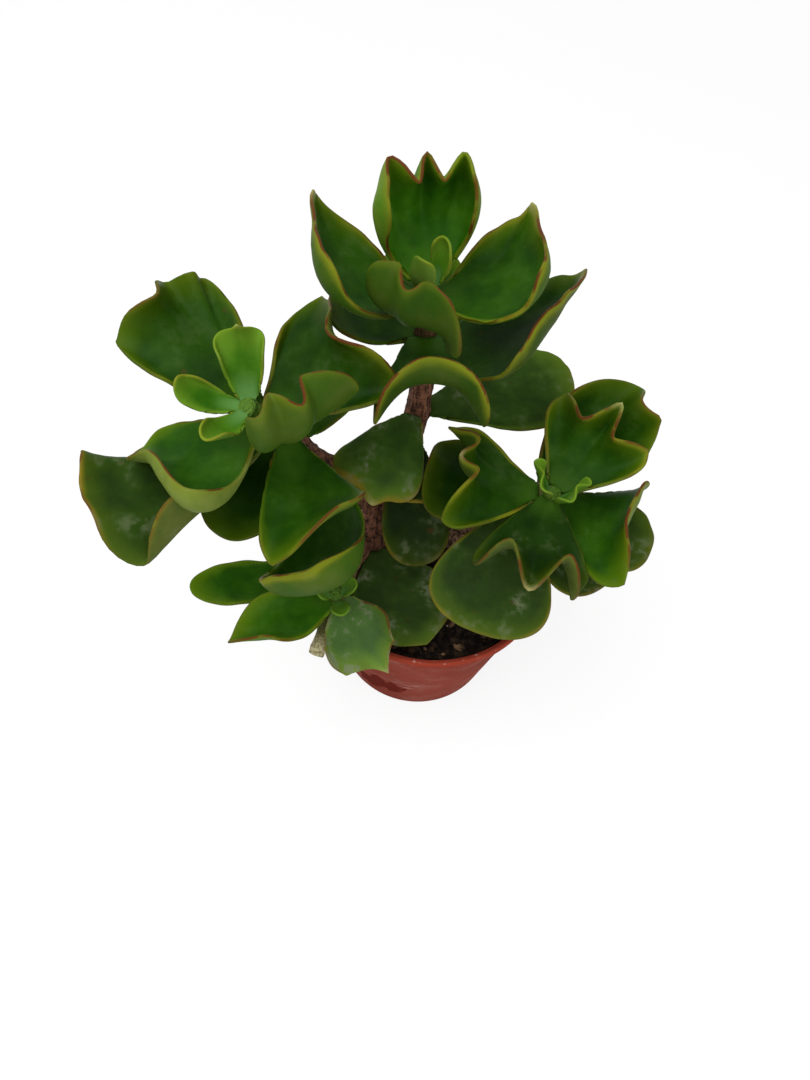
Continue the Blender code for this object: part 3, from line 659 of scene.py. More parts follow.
@dataclass
class LeafBlade:
    """One leaf made as a fine closed shell in the place of its plain blade.

    undulation_rise is the share of a vein over which the unevenness sets in, and rolled_curl the
    curl, in degrees, over which a margin comes to count as rolled.
    """

    name: str
    leaf: Leaf
    seed: int
    undulation: float = 0.22
    undulation_length: float = 13.0
    undulation_rise: tuple[float, float] = (0.1, 0.5)
    margin_wave: float = 0.35
    margin_wave_length: float = 9.0
    margin_wave_power: int = 6
    side_crowding: float = 0.25
    base_overlap: float = 0.6
    rim_roundness: float = 1.25
    rolled_curl: tuple[float, float] = (15.0, 80.0)
    tip_spread: float = 0.030
    tip_reach: float = 0.93
    full_tip_point: float = 3.0

    @property
    def young(self) -> bool:
        """Whether the blade is thin, as a young leaf's is."""
        return self.leaf.length < YOUNG_LENGTH

    @property
    def thickness(self) -> tuple[float, float]:
        """How thick the blade is.

        Returns:
            The thickness at its base and near its margin, in millimetres.
        """
        if self.young:
            return YOUNG_THICKNESS, YOUNG_EDGE_THICKNESS
        return LEAF_THICKNESS, LEAF_EDGE_THICKNESS

    def margin(self, edge: Array) -> tuple[Array, Array]:
        """The flat outline: a spoon whose half width is share^rise * (1 - share)^taper.

        Args:
            edge: Places along the edge: -1 right-hand base, 0 tip, 1 left-hand base.

        Returns:
            The distance outwards and to the left of each place.
        """
        leaf = self.leaf
        share = (1 - np.cos(np.linspace(0, math.pi, OUTLINE_SAMPLES))) / 2
        belly = share**OUTLINE_RISE * (1 - share) ** leaf.taper
        half_width = leaf.neck * (1 - share) ** 2 + leaf.width / 2 * belly / belly.max()
        along = leaf.length * share[::-1]
        across = half_width[::-1]
        run = np.concatenate([[0.0], np.cumsum(np.hypot(np.diff(along), np.diff(across)))])
        run /= run[-1]
        peak = leaf.point * np.exp(-((edge / TIP_POINT_SPREAD) ** 2))
        side = np.sign(edge) * (1 - leaf.skew * np.sign(edge))
        return np.interp(abs(edge), run, along) + peak, side * np.interp(abs(edge), run, across)

    def sheet(self) -> tuple[Array, dict[str, Array]]:
        """The blade's middle surface in its own frame: x outwards, y to its left, z up.

        Veins fan out from the base to the margin.  A vein's slope grows with a power of the
        distance along it, up to the curl angle there, so the blade stays open and its margin
        rolls.  Rings crowd together at the rim, a quarter circle of them.  A horn lengthens the
        veins near it by length * e^-(distance along the edge / spread).

        Returns:
            The points, rings by veins by 3, and the marks: share of each vein, distance to the
            margin, place along the edge, how far the margin rolls and roundness of the rim.
        """
        leaf = self.leaf
        spread = np.linspace(-1, 1, VEINS)
        crowded = self.side_crowding * np.sin(spread * math.pi / 2)
        edge = FAN_REACH * ((1 - self.side_crowding) * spread + crowded)
        tip_x, tip_y = self.margin(edge)
        base_y = edge * leaf.neck
        reach = np.hypot(tip_x, tip_y - base_y)
        for place, length in leaf.spikes:
            reach = reach + length * np.exp(-abs(edge - place) / SPIKE_SPREAD)
        heading = np.arctan2(tip_y - base_y, tip_x)
        curl = smooth_through(np.linspace(-1, 1, len(leaf.curl)), leaf.curl, edge)

        rim = self.rim_roundness * self.thickness[1] / 2
        turn = np.linspace(0, math.pi / 2, RIM_RINGS + 1)[1:, None]
        inner = np.linspace(-self.base_overlap / reach, 1 - rim / reach, INNER_RINGS)
        share = np.concatenate([inner, 1 - rim * (1 - np.sin(turn)) / reach])
        rim_cosine = np.concatenate([np.ones(INNER_RINGS), np.cos(turn[:, 0])])
        rim_cosine[-1] = 0.0

        table = np.linspace(0, 1, VEIN_SAMPLES)
        slope = np.radians(curl * table[:, None] ** leaf.ease)
        cell = np.clip((share * (VEIN_SAMPLES - 1)).astype(int), 0, VEIN_SAMPLES - 2)
        part = share * (VEIN_SAMPLES - 1) - cell
        out, lift = (
            np.take_along_axis(sums, cell, 0) * (1 - part)
            + np.take_along_axis(sums, cell + 1, 0) * part
            for sums in (running_sum(np.cos(slope), table[1]), running_sum(np.sin(slope), table[1]))
        )
        x = out * reach * np.cos(heading)
        y = base_y + out * reach * np.sin(heading)
        z = lift * reach
        flat = np.stack([x, y, np.zeros_like(x)], axis=-1)
        grade = smooth_step(*self.undulation_rise, share)
        z = z + self.undulation * grade * ripples(flat, self.undulation_length, self.seed)
        wave = ripples(flat, self.margin_wave_length, self.seed + 1)
        z = z + self.margin_wave * np.clip(share, 0, 1) ** self.margin_wave_power * wave

        sheet = self.bowed(x, y, z)
        steps = np.linalg.norm(np.diff(sheet, axis=1), axis=-1)
        from_right = np.concatenate([np.zeros_like(steps[:, :1]), np.cumsum(steps, axis=1)], axis=1)
        to_side = np.minimum(from_right, from_right[:, -1:] - from_right)
        inwards = np.clip(1 - to_side / rim, 0, 1)
        roundness = np.minimum(rim_cosine[:, None], np.sqrt(1 - inwards**2))
        return sheet, {
            "reach": np.clip(share, 0, 1),
            "margin_mm": np.minimum((1 - share) * reach, to_side),
            "edge": np.broadcast_to(edge, share.shape),
            "rolled": np.broadcast_to(smooth_step(*self.rolled_curl, abs(curl)), share.shape),
            "roundness": roundness,
        }

    def bowed(self, x: Array, y: Array, z: Array) -> Array:
        """The sheet folded round its midrib, bent up or down, then swept sideways.

        A fold wraps y round a cylinder; a bend or sweep lays x along a curved line.  In each, the
        height over the line stays at a right angle to it.

        Args:
            x: The distance outwards.
            y: The distance to the left.
            z: The height.

        Returns:
            The points, in three columns.
        """
        leaf = self.leaf
        if leaf.fold:
            radius = leaf.width / 2 / math.radians(leaf.fold)
            angle = y / radius
            y = radius * np.sin(angle) - z * np.sin(angle)
            z = radius * (1 - np.cos(angle)) + z * np.cos(angle)
        along, above, angle = bent_line(x / leaf.length, leaf.bend, leaf.length)
        x = along - z * np.sin(angle)
        z = above + z * np.cos(angle)
        along, aside, angle = bent_line(x / leaf.length, leaf.sweep, leaf.length)
        x = along - y * np.sin(angle)
        y = aside + y * np.cos(angle)
        return np.stack([x, y, z], axis=-1)

    def turn(self) -> Array:
        """How the leaf is turned to where it points: roll, then rise, then azimuth.

        Returns:
            The turning matrix, 3 by 3.
        """
        azimuth, rise, roll = np.radians([self.leaf.azimuth, self.leaf.rise, self.leaf.roll])
        about_x = Matrix.Rotation(roll, 3, "X")
        about_y = Matrix.Rotation(-rise, 3, "Y")
        about_z = Matrix.Rotation(azimuth, 3, "Z")
        return np.array(about_z @ about_y @ about_x)

    def seat(self) -> Array:
        """Where the middle of the leaf's base lies: just clear of its stem's skin.

        The base leaves the stem towards its azimuth, less most of the part along the stem.

        Returns:
            The point, in millimetres.
        """
        leaf = self.leaf
        middle, radius, direction = stem_place(leaf.stem, leaf.place)
        azimuth = math.radians(leaf.azimuth)
        outwards = np.array([math.cos(azimuth), math.sin(azimuth), 0.0])
        outwards -= SEAT_LEAN * direction * (outwards @ direction)
        outwards /= np.linalg.norm(outwards)
        slope = math.sin(math.radians(leaf.rise))
        clearance = SEAT_GAP + abs(slope) * self.thickness[0] / 2 + leaf.slide
        return middle + outwards * (radius + clearance)

    def surface(self) -> Surface:
        """The closed shell: an upper and a lower sheet that share their rim, and a base cap.

        Each sheet is the middle one moved along its normal by half the thickness, which shrinks
        from the base to the margin and then rounds off to nothing.

        Returns:
            The shell with its shading marks.
        """
        sheet, marks = self.sheet()
        base, edge = self.thickness
        half = (base + (edge - base) * marks["reach"] ** THINNING_POWER) / 2 * marks["roundness"]
        offset = grid_normals(sheet) * half[..., None]
        turn, seat = self.turn(), self.seat()
        upper = (sheet + offset) @ turn.T + seat
        lower = (sheet - offset) @ turn.T + seat
        rings, veins = half.shape
        top = np.arange(rings * veins).reshape(rings, veins)
        bottom = top.copy()
        inside = (slice(None, -1), slice(1, -1))
        bottom[inside] = rings * veins + np.arange((rings - 1) * (veins - 2)).reshape(rings - 1, -1)
        cap = np.stack([top[0, 1:-2], top[0, 2:-1], bottom[0, 2:-1], bottom[0, 1:-2]], axis=-1)
        corners = [
            [top[0, 0], top[0, 1], bottom[0, 1]],
            [top[0, -2], top[0, -1], bottom[0, -2]],
        ]
        side = np.ones((rings, veins))
        side[-1, :] = 0.5
        side[:, [0, -1]] = 0.5
        tip = np.exp(-((marks["edge"] / self.tip_spread) ** 2))
        tip = tip * smooth_step(self.tip_reach, 1, marks["reach"])
        tip = tip * min(1.0, self.leaf.point / self.full_tip_point)
        shared = {name: marks[name] for name in ("reach", "margin_mm", "rolled")} | {"tip": tip}
        both = {
            mark: np.concatenate([values.ravel(), values[inside].ravel()])
            for mark, values in shared.items()
        }
        both["upper"] = np.concatenate([side.ravel(), np.zeros(half[inside].size)])
        return Surface(
            points=np.concatenate([upper.reshape(-1, 3), lower[inside].reshape(-1, 3)]),
            quads=np.concatenate([grid_quads(top), grid_quads(bottom)[:, ::-1], cap]),
            triangles=np.array(corners),
            marks=both,
        )

    def skin(self) -> LeafSkin:
        """Choose the leaf's finish.

        Returns:
            The finish for its age, with the values that are its own.
        """
        own = {
            name: getattr(self.leaf, name)
            for name in ("gold", "dust", "scars", "edging", "shade", "frost", "band_width")
            if getattr(self.leaf, name) is not None
        }
        return replace(SKINS[self.leaf.age], **own)

    def build(self) -> bpy.types.Object:
        """Make the leaf's mesh and dress it.

        Returns:
            The finished piece, which stands for the plain blade.
        """
        young = self.leaf.age in (Age.BUD, Age.YOUNG)
        slot = "young_leaf_skin" if young else "leaf_skin"
        material = leaf_material(self.name + "_skin", self.skin(), self.seed)
        return self.surface().piece("looks_" + self.name, material, slot, self.name)


@dataclass
class Stems:
    """The woody stems: a left plant with three branches and a right plant.

    fold_counts is how many wrinkles of each of three kinds run round a stem.  The rises and
    fades are shares of a stem's length, and plain_foot the smooth stretch in the soil.
    """

    leaf_collar: float = 0.8
    collar_length: float = 2.4
    wrinkle: float = 0.22
    fold_counts: tuple[int, int, int] = (5, 9, 14)
    twist: float = 0.03
    scar_sway: float = 1.3
    scar_spacing: float = 7.5
    scar_height: float = 0.22
    scar_sharpness: float = 0.1
    dome: float = 0.9
    cut_dome: float = 0.25
    dome_rings: int = 6
    cut_pallor: float = 0.85
    cut_rise: tuple[float, float] = (0.84, 0.96)
    bud_rise: tuple[float, float] = (0.93, 0.99)
    green_fade: float = 0.2
    bark_fade: float = 0.15
    plain_foot: float = 4.0

    def tube(self, name: str) -> Surface:
        """One stem as rings round its axis.

        The radius is the stem's own, plus lengthwise wrinkles (sines of the angle that drift
        with the height), a low ridge at each old leaf scar, and a collar under each leaf that
        fades away from the leaf's side.  The tip is a low dome, or flat where it was cut.

        Args:
            name: The stem's name in STEMS.

        Returns:
            The closed tube with its shading marks.
        """
        green_from, cut = GREEN_FROM[name], name == CUT_STEM
        axis, radii = stem_axis(name, STEM_STEPS)
        tangents = np.gradient(axis, axis=0)
        tangents /= np.linalg.norm(tangents, axis=1, keepdims=True)
        side = np.array([1.0, 0.0, 0.0]) - tangents * tangents[:, :1]
        side /= np.linalg.norm(side, axis=1, keepdims=True)
        other = np.cross(tangents, side)
        run = run_along(axis)[:, None]
        share = run / run[-1]
        angle = np.linspace(0, math.tau, STEM_SIDES, endpoint=False)[None, :]
        seed = sum(map(ord, name))

        bark = 1 - smooth_step(green_from - self.bark_fade, green_from + self.bark_fade, share)
        twist = self.twist * run + 0.5 * np.sin(run / 9 + seed)
        few, some, many = self.fold_counts
        folds = np.sin(few * (angle + twist) + seed) + 0.7 * np.sin(some * (angle - twist))
        folds = folds + 0.6 * np.sin(many * angle + 3 * np.sin(run / 4.3))
        cycle = (run + self.scar_sway * np.sin(angle + seed)) / self.scar_spacing
        scars = np.exp(-(((cycle % 1 - 0.5) / self.scar_sharpness) ** 2))
        swell = self.wrinkle * (0.35 + bark) * folds / 1.5 + self.scar_height * scars
        for leaf in (each for each in LEAVES.values() if each.stem == name):
            azimuth = math.radians(leaf.azimuth)
            outwards = np.array([math.cos(azimuth), math.sin(azimuth), 0.0])
            facing = np.arctan2(other @ outwards, side @ outwards)[:, None]
            near = np.exp(-(((share - leaf.place) * run[-1] / self.collar_length) ** 2))
            swell = swell + self.leaf_collar * near * (0.5 + 0.5 * np.cos(angle - facing)) ** 2
        radius = radii[:, None] + swell * smooth_step(0, self.plain_foot, run)

        turned = angle[..., None]
        around = side[:, None] * np.cos(turned) + other[:, None] * np.sin(turned)
        bends = np.linspace(0, math.pi / 2, self.dome_rings + 1)[1:-1, None, None]
        ahead = (self.cut_dome if cut else self.dome) * np.sin(bends)
        end = around[-1:] * (radius[-1:, :, None] * np.cos(bends))
        cap = axis[-1] + tangents[-1] * ahead + end
        tube = closed_round(np.concatenate([axis[:, None] + around * radius[..., None], cap]))
        beyond = np.ones(cap.shape[:2])
        tall = np.concatenate([np.broadcast_to(share, radius.shape), beyond])
        pale = self.cut_pallor * smooth_step(*self.cut_rise, share)
        cut_end = float(cut) * np.concatenate([np.broadcast_to(pale, radius.shape), beyond])
        green = smooth_step(green_from - self.green_fade, green_from + self.green_fade, tall)
        bud = (1 - float(cut)) * smooth_step(*self.bud_rise, tall)
        tube.marks = {
            "green": np.concatenate([green.ravel(), [0.0, green[-1, 0]]]),
            "bud": np.concatenate([bud.ravel(), [0.0, bud[-1, 0]]]),
            "cut": np.concatenate([cut_end.ravel(), [0.0, float(cut)]]),
        }
        return tube

    def build(self) -> None:
        """Make both plants' stems: the left one with its branches in one piece."""
        left = [self.tube(name) for name in ("top", "left", "stub", "low")]
        red_bark = stem_material("left_bark", BarkFinish(ridge=(0.250, 0.105, 0.058)))
        tan_bark = stem_material("right_bark", BarkFinish(ridge=(0.420, 0.250, 0.155)))
        joined(left).piece("looks_left_plant_stem", red_bark, "stem_bark", "left_plant_stem")
        self.tube("right").piece("looks_right_plant_stem", tan_bark, "stem_bark", "right_plant_stem")


@dataclass(frozen=True)
class DampSmudge:
    """Where wet soil has marked the pot: degrees round it from +X, height and half sizes."""

    angle: float
    height: float
    half_sizes: tuple[float, float, float]


@dataclass
class Pot:
    """The round nursery pot: a thin tapering wall with a stepped rim band.

    free_from and free_to are the heights over which the wall's unevenness sets in and ends, and
    lip_depths the depths below the top over which the lip's own colour sets in.
    """

    height: float = 84.0
    rim_radius: float = 52.5
    rim_band: float = 7.0
    base_radius: float = 38.8
    neck_radius: float = 49.4
    wall: float = 1.6
    floor: float = 2.4
    sides: int = 192
    wall_rings: int = 24
    pole_radius: float = 0.4
    groove_radii: tuple[float, ...] = (14.0, 30.0)
    groove_depth: float = 0.25
    unevenness: float = 0.1
    unevenness_length: float = 34.0
    free_from: tuple[float, float] = (4.0, 20.0)
    free_to: tuple[float, float] = (70.0, 78.0)
    lip_depths: tuple[float, float] = (3.6, 2.4)
    smudges: tuple[DampSmudge, ...] = (
        DampSmudge(-120, 17, (6.8, 7.5, 9.0)),
        DampSmudge(-110, 25, (5.6, 6.5, 10.0)),
        DampSmudge(-102, 24.5, (6.6, 7.0, 9.5)),
    )

    def smudge_box(self, smudge: DampSmudge) -> tuple[Colour, Colour]:
        """Where a smudge lies on the wall, whose radius grows evenly from base to neck.

        Args:
            smudge: The smudge.

        Returns:
            Its middle and its half sizes, in metres.
        """
        climb = smudge.height / (self.height - self.rim_band)
        radius = self.base_radius + (self.neck_radius - self.base_radius) * climb
        turn = math.radians(smudge.angle)
        middle = (radius * math.cos(turn), radius * math.sin(turn), smudge.height)
        return tuple(side * MM for side in middle), tuple(side * MM for side in smudge.half_sizes)

    def profile(self) -> Array:
        """The outline from the middle of the underside, up the outside and down the inside.

        Its corners are rounded by cutting them twice: each run between two points gives two new
        points, a quarter and three quarters of the way along.

        Returns:
            Radius and height of each point.
        """
        neck = self.height - self.rim_band
        inner_base = self.base_radius - self.wall
        inner_neck = self.neck_radius - self.wall
        lip, top = self.rim_radius, self.height
        climb = np.linspace(0, 1, self.wall_rings)[:, None]
        outside = np.array([self.base_radius, 1.4]) * (1 - climb)
        outside = outside + np.array([self.neck_radius, neck - 1.2]) * climb
        inside = np.array([inner_neck, neck - 1.0]) * (1 - climb)
        inside = inside + np.array([inner_base, self.floor + 0.6]) * climb
        deep = self.groove_depth
        groove = [(0.0, 0.0), (0.4, deep), (1.0, deep), (1.4, 0.0)]
        underside = [(self.pole_radius, 0.0)]
        underside += [(start + r, z) for start in self.groove_radii for r, z in groove]
        underside += [(self.base_radius - 1.2, 0.0)]
        band = [(lip - 1.5, neck - 0.2), (lip - 0.8, neck + 0.4), (lip - 0.35, neck + 3.4)]
        band += [(lip, top - 1.2), (lip - 0.4, top), (lip - 1.5, top)]
        ledges = [(lip - 1.7, top - 0.7), (lip - 2.4, top - 0.8)]
        ledges += [(lip - 2.6, top - 1.5), (lip - 3.2, top - 1.7), (lip - 3.5, neck + 2.0)]
        base = [(inner_base - 1.0, self.floor), (self.pole_radius, self.floor)]
        line = np.concatenate([underside, outside, band, ledges, inside, base])
        for _ in range(2):
            early = line[:-1] * 0.75 + line[1:] * 0.25
            late = line[:-1] * 0.25 + line[1:] * 0.75
            middle = np.stack([early, late], axis=1).reshape(-1, 2)
            line = np.concatenate([line[:1], middle, line[-1:]])
        return line

    def build(self) -> None:
        """Turn the profile round the pot's axis, slightly uneven as moulded plastic is."""
        line = self.profile()
        angle = np.linspace(0, math.tau, self.sides, endpoint=False)
        radius, height = line[:, :1], line[:, 1:]
        x, y = radius * np.cos(angle), radius * np.sin(angle)
        rings = np.stack([x, y, np.broadcast_to(height, x.shape)], axis=-1)
        free = smooth_step(*self.free_from, height) * (1 - smooth_step(*self.free_to, height))
        unevenness = self.unevenness * free * ripples(rings, self.unevenness_length, 5)
        sway = 1 + unevenness / self.neck_radius
        rings[..., :2] *= sway[..., None]
        pot = closed_round(rings)
        lip = smooth_step(*(self.height - depth for depth in self.lip_depths), height)
        lip = np.maximum(lip, (np.arange(len(line)) > np.argmax(radius))[:, None] * 1.0)
        lip = np.broadcast_to(lip, x.shape)
        pot.marks = {"lip": np.concatenate([lip.ravel(), [0.0, 1.0]])}
        boxes = [self.smudge_box(smudge) for smudge in self.smudges]
        plastic = pot_material("nursery_pot_plastic", PotFinish(), boxes)
        pot.piece("looks_pot", plastic, "pot_plastic", "pot")


def twenty_sided_ball() -> tuple[Array, Array]:
    """A ball of radius 1 with twelve corners: all (0, 1, g) with both signs, in turning order.

    g is the golden ratio.  Three corners make a face where each is next to the other two.

    Returns:
        The corners and the outward-facing triangles.
    """
    golden = (1 + math.sqrt(5)) / 2
    one, far = np.array([-1, 1, -1, 1]), np.array([-1, -1, 1, 1]) * golden
    zero = np.zeros(4)
    columns = [(one, far, zero), (zero, one, far), (far, zero, one)]
    ball = np.concatenate([np.stack(each, axis=1) for each in columns]) / math.hypot(1, golden)
    near = np.linalg.norm(ball[:, None] - ball[None], axis=-1) < NEXT_CORNER
    triples = itertools.combinations(range(len(ball)), 3)
    faces = np.array([(a, b, c) for a, b, c in triples if near[a, b] and near[b, c] and near[a, c]])
    first, second, third = (ball[faces[:, column]] for column in range(3))
    inwards = np.einsum("ij,ij->i", np.cross(first, second), third) < 0
    faces[inwards] = faces[inwards][:, ::-1]
    return ball, faces


@dataclass(frozen=True)
class Lumps:
    """One kind of loose lump: how many, their smallest and largest radius, and their shape.

    shape is how long, wide and thick a lump is for its size, and seed says which scatter.
    """

    count: int
    sizes: tuple[float, float]
    shape: tuple[float, float, float]
    seed: int


@dataclass
class Soil:
    """The potting mix: a crumbly crown with granules, bark chips and perlite on it."""

    top: float = 73.5
    crown: float = 1.6
    floor: float = 2.7
    bottom_radius: float = 36.6
    top_radius: float = 46.8
    neck_radius: float = 49.4
    sides: int = 230
    rings: int = 84
    side_rings: int = 6
    side_reach: float = 0.97
    middle_reach: float = 0.01
    bare_edge: float = 1.5
    half_buried: float = 0.35
    granules: Lumps = Lumps(1500, (0.35, 1.1), (1.0, 1.0, 0.8), 31)
    bark_chips: Lumps = Lumps(230, (0.8, 2.6), (1.6, 0.8, 0.35), 32)
    perlite: Lumps = Lumps(80, (0.4, 1.2), (1.0, 0.9, 0.8), 33)

    def height(self, x: Array, y: Array) -> Array:
        """The plain plug's surface, a low crown with soft lumps, plus three sizes of crumbs.

        Args:
            x: Places along X, in millimetres.
            y: Places along Y, in millimetres.

        Returns:
            The height at each place.
        """
        reach = np.hypot(x, y) / self.neck_radius
        lumps = 0.7 * np.sin(x / 6.1 + 0.4) * np.cos(y / 7.3 - 0.8) + 0.4 * np.sin((x + y) / 4.3)
        level = self.top + self.crown * (1 - reach**2) + lumps * (1 - reach**4)
        place = np.stack([x, y, np.zeros_like(x)], axis=-1)
        crumbs = 0.45 * ripples(place, 6.0, 11) + 0.30 * ripples(place, 2.6, 12)
        return level + crumbs + 0.16 * ripples(place, 1.3, 13)

    def bed(self) -> Surface:
        """The plug: rings up its side, then inwards over its crumbly top.

        Returns:
            The closed plug with its shades.
        """
        angle = np.linspace(0, math.tau, self.sides, endpoint=False)
        climb = np.linspace(0, self.side_reach, self.side_rings)[:, None]
        side_radius = self.bottom_radius + (self.top_radius - self.bottom_radius) * climb
        side = [side_radius * np.cos(angle), side_radius * np.sin(angle)]
        side += [np.broadcast_to(self.floor + (self.top - self.floor) * climb, side[0].shape)]
        radius = self.top_radius * np.linspace(1, self.middle_reach, self.rings)[:, None]
        x, y = radius * np.cos(angle), radius * np.sin(angle)
        top = np.stack([x, y, self.height(x, y)], axis=-1)
        bed = closed_round(np.concatenate([np.stack(side, axis=-1), top]))
        bed.marks = {"shade": 0.5 + 0.5 * ripples(bed.points, 3.0, 21)}
        return bed

    def scatter(self, kind: Lumps) -> Surface:
        """Small lumps lying on the bed: a twenty-sided ball each, stretched, dented and turned.

        Args:
            kind: What the lumps are like.

        Returns:
            All the lumps as one surface, each with its own shade.
        """
        count, (smallest, largest) = kind.count, kind.sizes
        chance = np.random.default_rng(kind.seed)
        ball, faces = twenty_sided_ball()
        corners = len(ball)
        reach = (self.top_radius - self.bare_edge) * np.sqrt(chance.uniform(0, 1, count))
        heading = chance.uniform(0, math.tau, count)
        x, y = reach * np.cos(heading), reach * np.sin(heading)
        size = smallest + (largest - smallest) * chance.uniform(0, 1, count) ** 2
        stretch = np.array(kind.shape) * chance.uniform(0.75, 1.25, (count, 3))
        dents = chance.uniform(0.72, 1.15, (count, corners, 1))
        local = ball * dents * stretch[:, None] * size[:, None, None]
        spin, tilt = chance.uniform(0, math.tau, count), chance.normal(0, 0.35, count)
        cos_tilt, sin_tilt = np.cos(tilt)[:, None], np.sin(tilt)[:, None]
        side = local[..., 0] * cos_tilt + local[..., 2] * sin_tilt
        rise = local[..., 2] * cos_tilt - local[..., 0] * sin_tilt
        cos_spin, sin_spin = np.cos(spin)[:, None], np.sin(spin)[:, None]
        lumps = np.stack([
            x[:, None] + side * cos_spin - local[..., 1] * sin_spin,
            y[:, None] + side * sin_spin + local[..., 1] * cos_spin,
            (self.height(x, y) + size * kind.shape[2] * self.half_buried)[:, None] + rise,
        ], axis=-1)
        clear = np.ones(count, bool)
        for trunk in ("top", "right"):
            (post_x, post_y, _), post_radius = STEMS[trunk][0][1], STEMS[trunk][1][1]
            clear &= np.hypot(x - post_x, y - post_y) > post_radius + size
        lumps = lumps[clear]
        triangles = (faces[None] + corners * np.arange(len(lumps))[:, None, None]).reshape(-1, 3)
        shade = np.repeat(chance.uniform(0, 1, len(lumps)), corners)
        no_quads = np.zeros((0, 4), int)
        return Surface(lumps.reshape(-1, 3), no_quads, triangles, {"shade": shade})

    def build(self) -> None:
        """Make the bed and what lies on it."""
        bark = SoilFinish(dark=(0.030, 0.016, 0.008), pale=(0.200, 0.115, 0.060))
        white = SoilFinish(dark=(0.280, 0.250, 0.200), pale=(0.620, 0.580, 0.500), stain=0.35)
        mix = soil_material("potting_mix_crumbs", SoilFinish())
        chip_wood = soil_material("bark_chip_wood", bark)
        grain = soil_material("perlite_grain", white)
        self.bed().piece("looks_soil", mix, "potting_mix", "soil")
        for name, material, kind in (
            ("soil_granules", mix, self.granules),
            ("soil_bark_chips", chip_wood, self.bark_chips),
            ("soil_perlite", grain, self.perlite),
        ):
            self.scatter(kind).piece(name, material, "potting_mix")


@dataclass(frozen=True)
class BarkFinish:
    """Corky bark: dark in its furrows, paler on its ridges, green where the stem still grows."""

    ridge: Colour = (0.300, 0.190, 0.110)
    furrow: Colour = (0.030, 0.014, 0.008)
    green: Colour = (0.085, 0.088, 0.014)
    bud: Colour = (0.070, 0.150, 0.014)
    cut: Colour = (0.520, 0.480, 0.280)
    pale_green: Colour = (0.125, 0.115, 0.034)
    cut_heart: Colour = (0.230, 0.180, 0.090)
    roughness: float = 0.78
    specular: float = 0.15
    relief: float = 0.0006


@dataclass(frozen=True)
class PotFinish:
    """Brick-coloured moulded plastic with a redder lip, pale scuffs and dark damp smudges."""

    body: Colour = (0.205, 0.044, 0.030)
    deep: Colour = (0.160, 0.032, 0.021)
    lip: Colour = (0.230, 0.034, 0.018)
    scuff: Colour = (0.480, 0.330, 0.290)
    damp: Colour = (0.085, 0.008, 0.004)
    roughness: float = 0.48
    specular: float = 0.001
    relief: float = 0.00008


@dataclass(frozen=True)
class SoilFinish:
    """Loose potting mix, bark or perlite: two shades and how far dark stains cover it."""

    dark: Colour = (0.0035, 0.0022, 0.0016)
    pale: Colour = (0.030, 0.018, 0.011)
    stained: Colour = (0.004, 0.0025, 0.0018)
    stain: float = 0.5
    roughness: float = 0.92
    specular: float = 0.1
    relief: float = 0.0004


Finish = LeafSkin | BarkFinish | PotFinish | SoilFinish


class Wire:
    """A socket's value in an expression: arithmetic on it adds Math nodes to its graph."""

    def __init__(self, graph: "Graph", socket: bpy.types.NodeSocket) -> None:
        """Hold the socket and the graph that it belongs to."""
        self.graph = graph
        self.socket = socket

    def __add__(self, other: "Wire | float") -> "Wire":
        """This plus the other."""
        return self.graph.maths("ADD", self, other)

    def __radd__(self, other: float) -> "Wire":
        """The other plus this."""
        return self.graph.maths("ADD", other, self)

    def __sub__(self, other: "Wire | float") -> "Wire":
        """This less the other."""
        return self.graph.maths("SUBTRACT", self, other)

    def __rsub__(self, other: float) -> "Wire":
        """The other less this."""
        return self.graph.maths("SUBTRACT", other, self)

    def __mul__(self, other: "Wire | float") -> "Wire":
        """This times the other."""
        return self.graph.maths("MULTIPLY", self, other)

    def __rmul__(self, other: float) -> "Wire":
        """The other times this."""
        return self.graph.maths("MULTIPLY", other, self)

    def __truediv__(self, other: "Wire | float") -> "Wire":
        """This divided by the other."""
        return self.graph.maths("DIVIDE", self, other)

    def __pow__(self, other: float) -> "Wire":
        """This to the power of the other."""
        return self.graph.maths("POWER", self, other)

    def capped(self, most: float) -> "Wire":
        """This, or the given value where that is less."""
        return self.graph.maths("MINIMUM", self, most)

    def graded(self, low: float, high: float) -> "Wire":
        """A smooth rise of this value, by a Map Range node.

        Args:
            low: Where the rise starts from 0.
            high: Where it reaches 1.

        Returns:
            The grade, from 0 to 1.
        """
        settings = {"interpolation_type": "SMOOTHSTEP"}
        sockets = {"Value": self, "From Min": low, "From Max": high}
        return self.graph.wire(self.graph.node("ShaderNodeMapRange", settings, sockets), "Result")


Value = Wire | float | Colour
WHITE: Colour = (1.0, 1.0, 1.0)


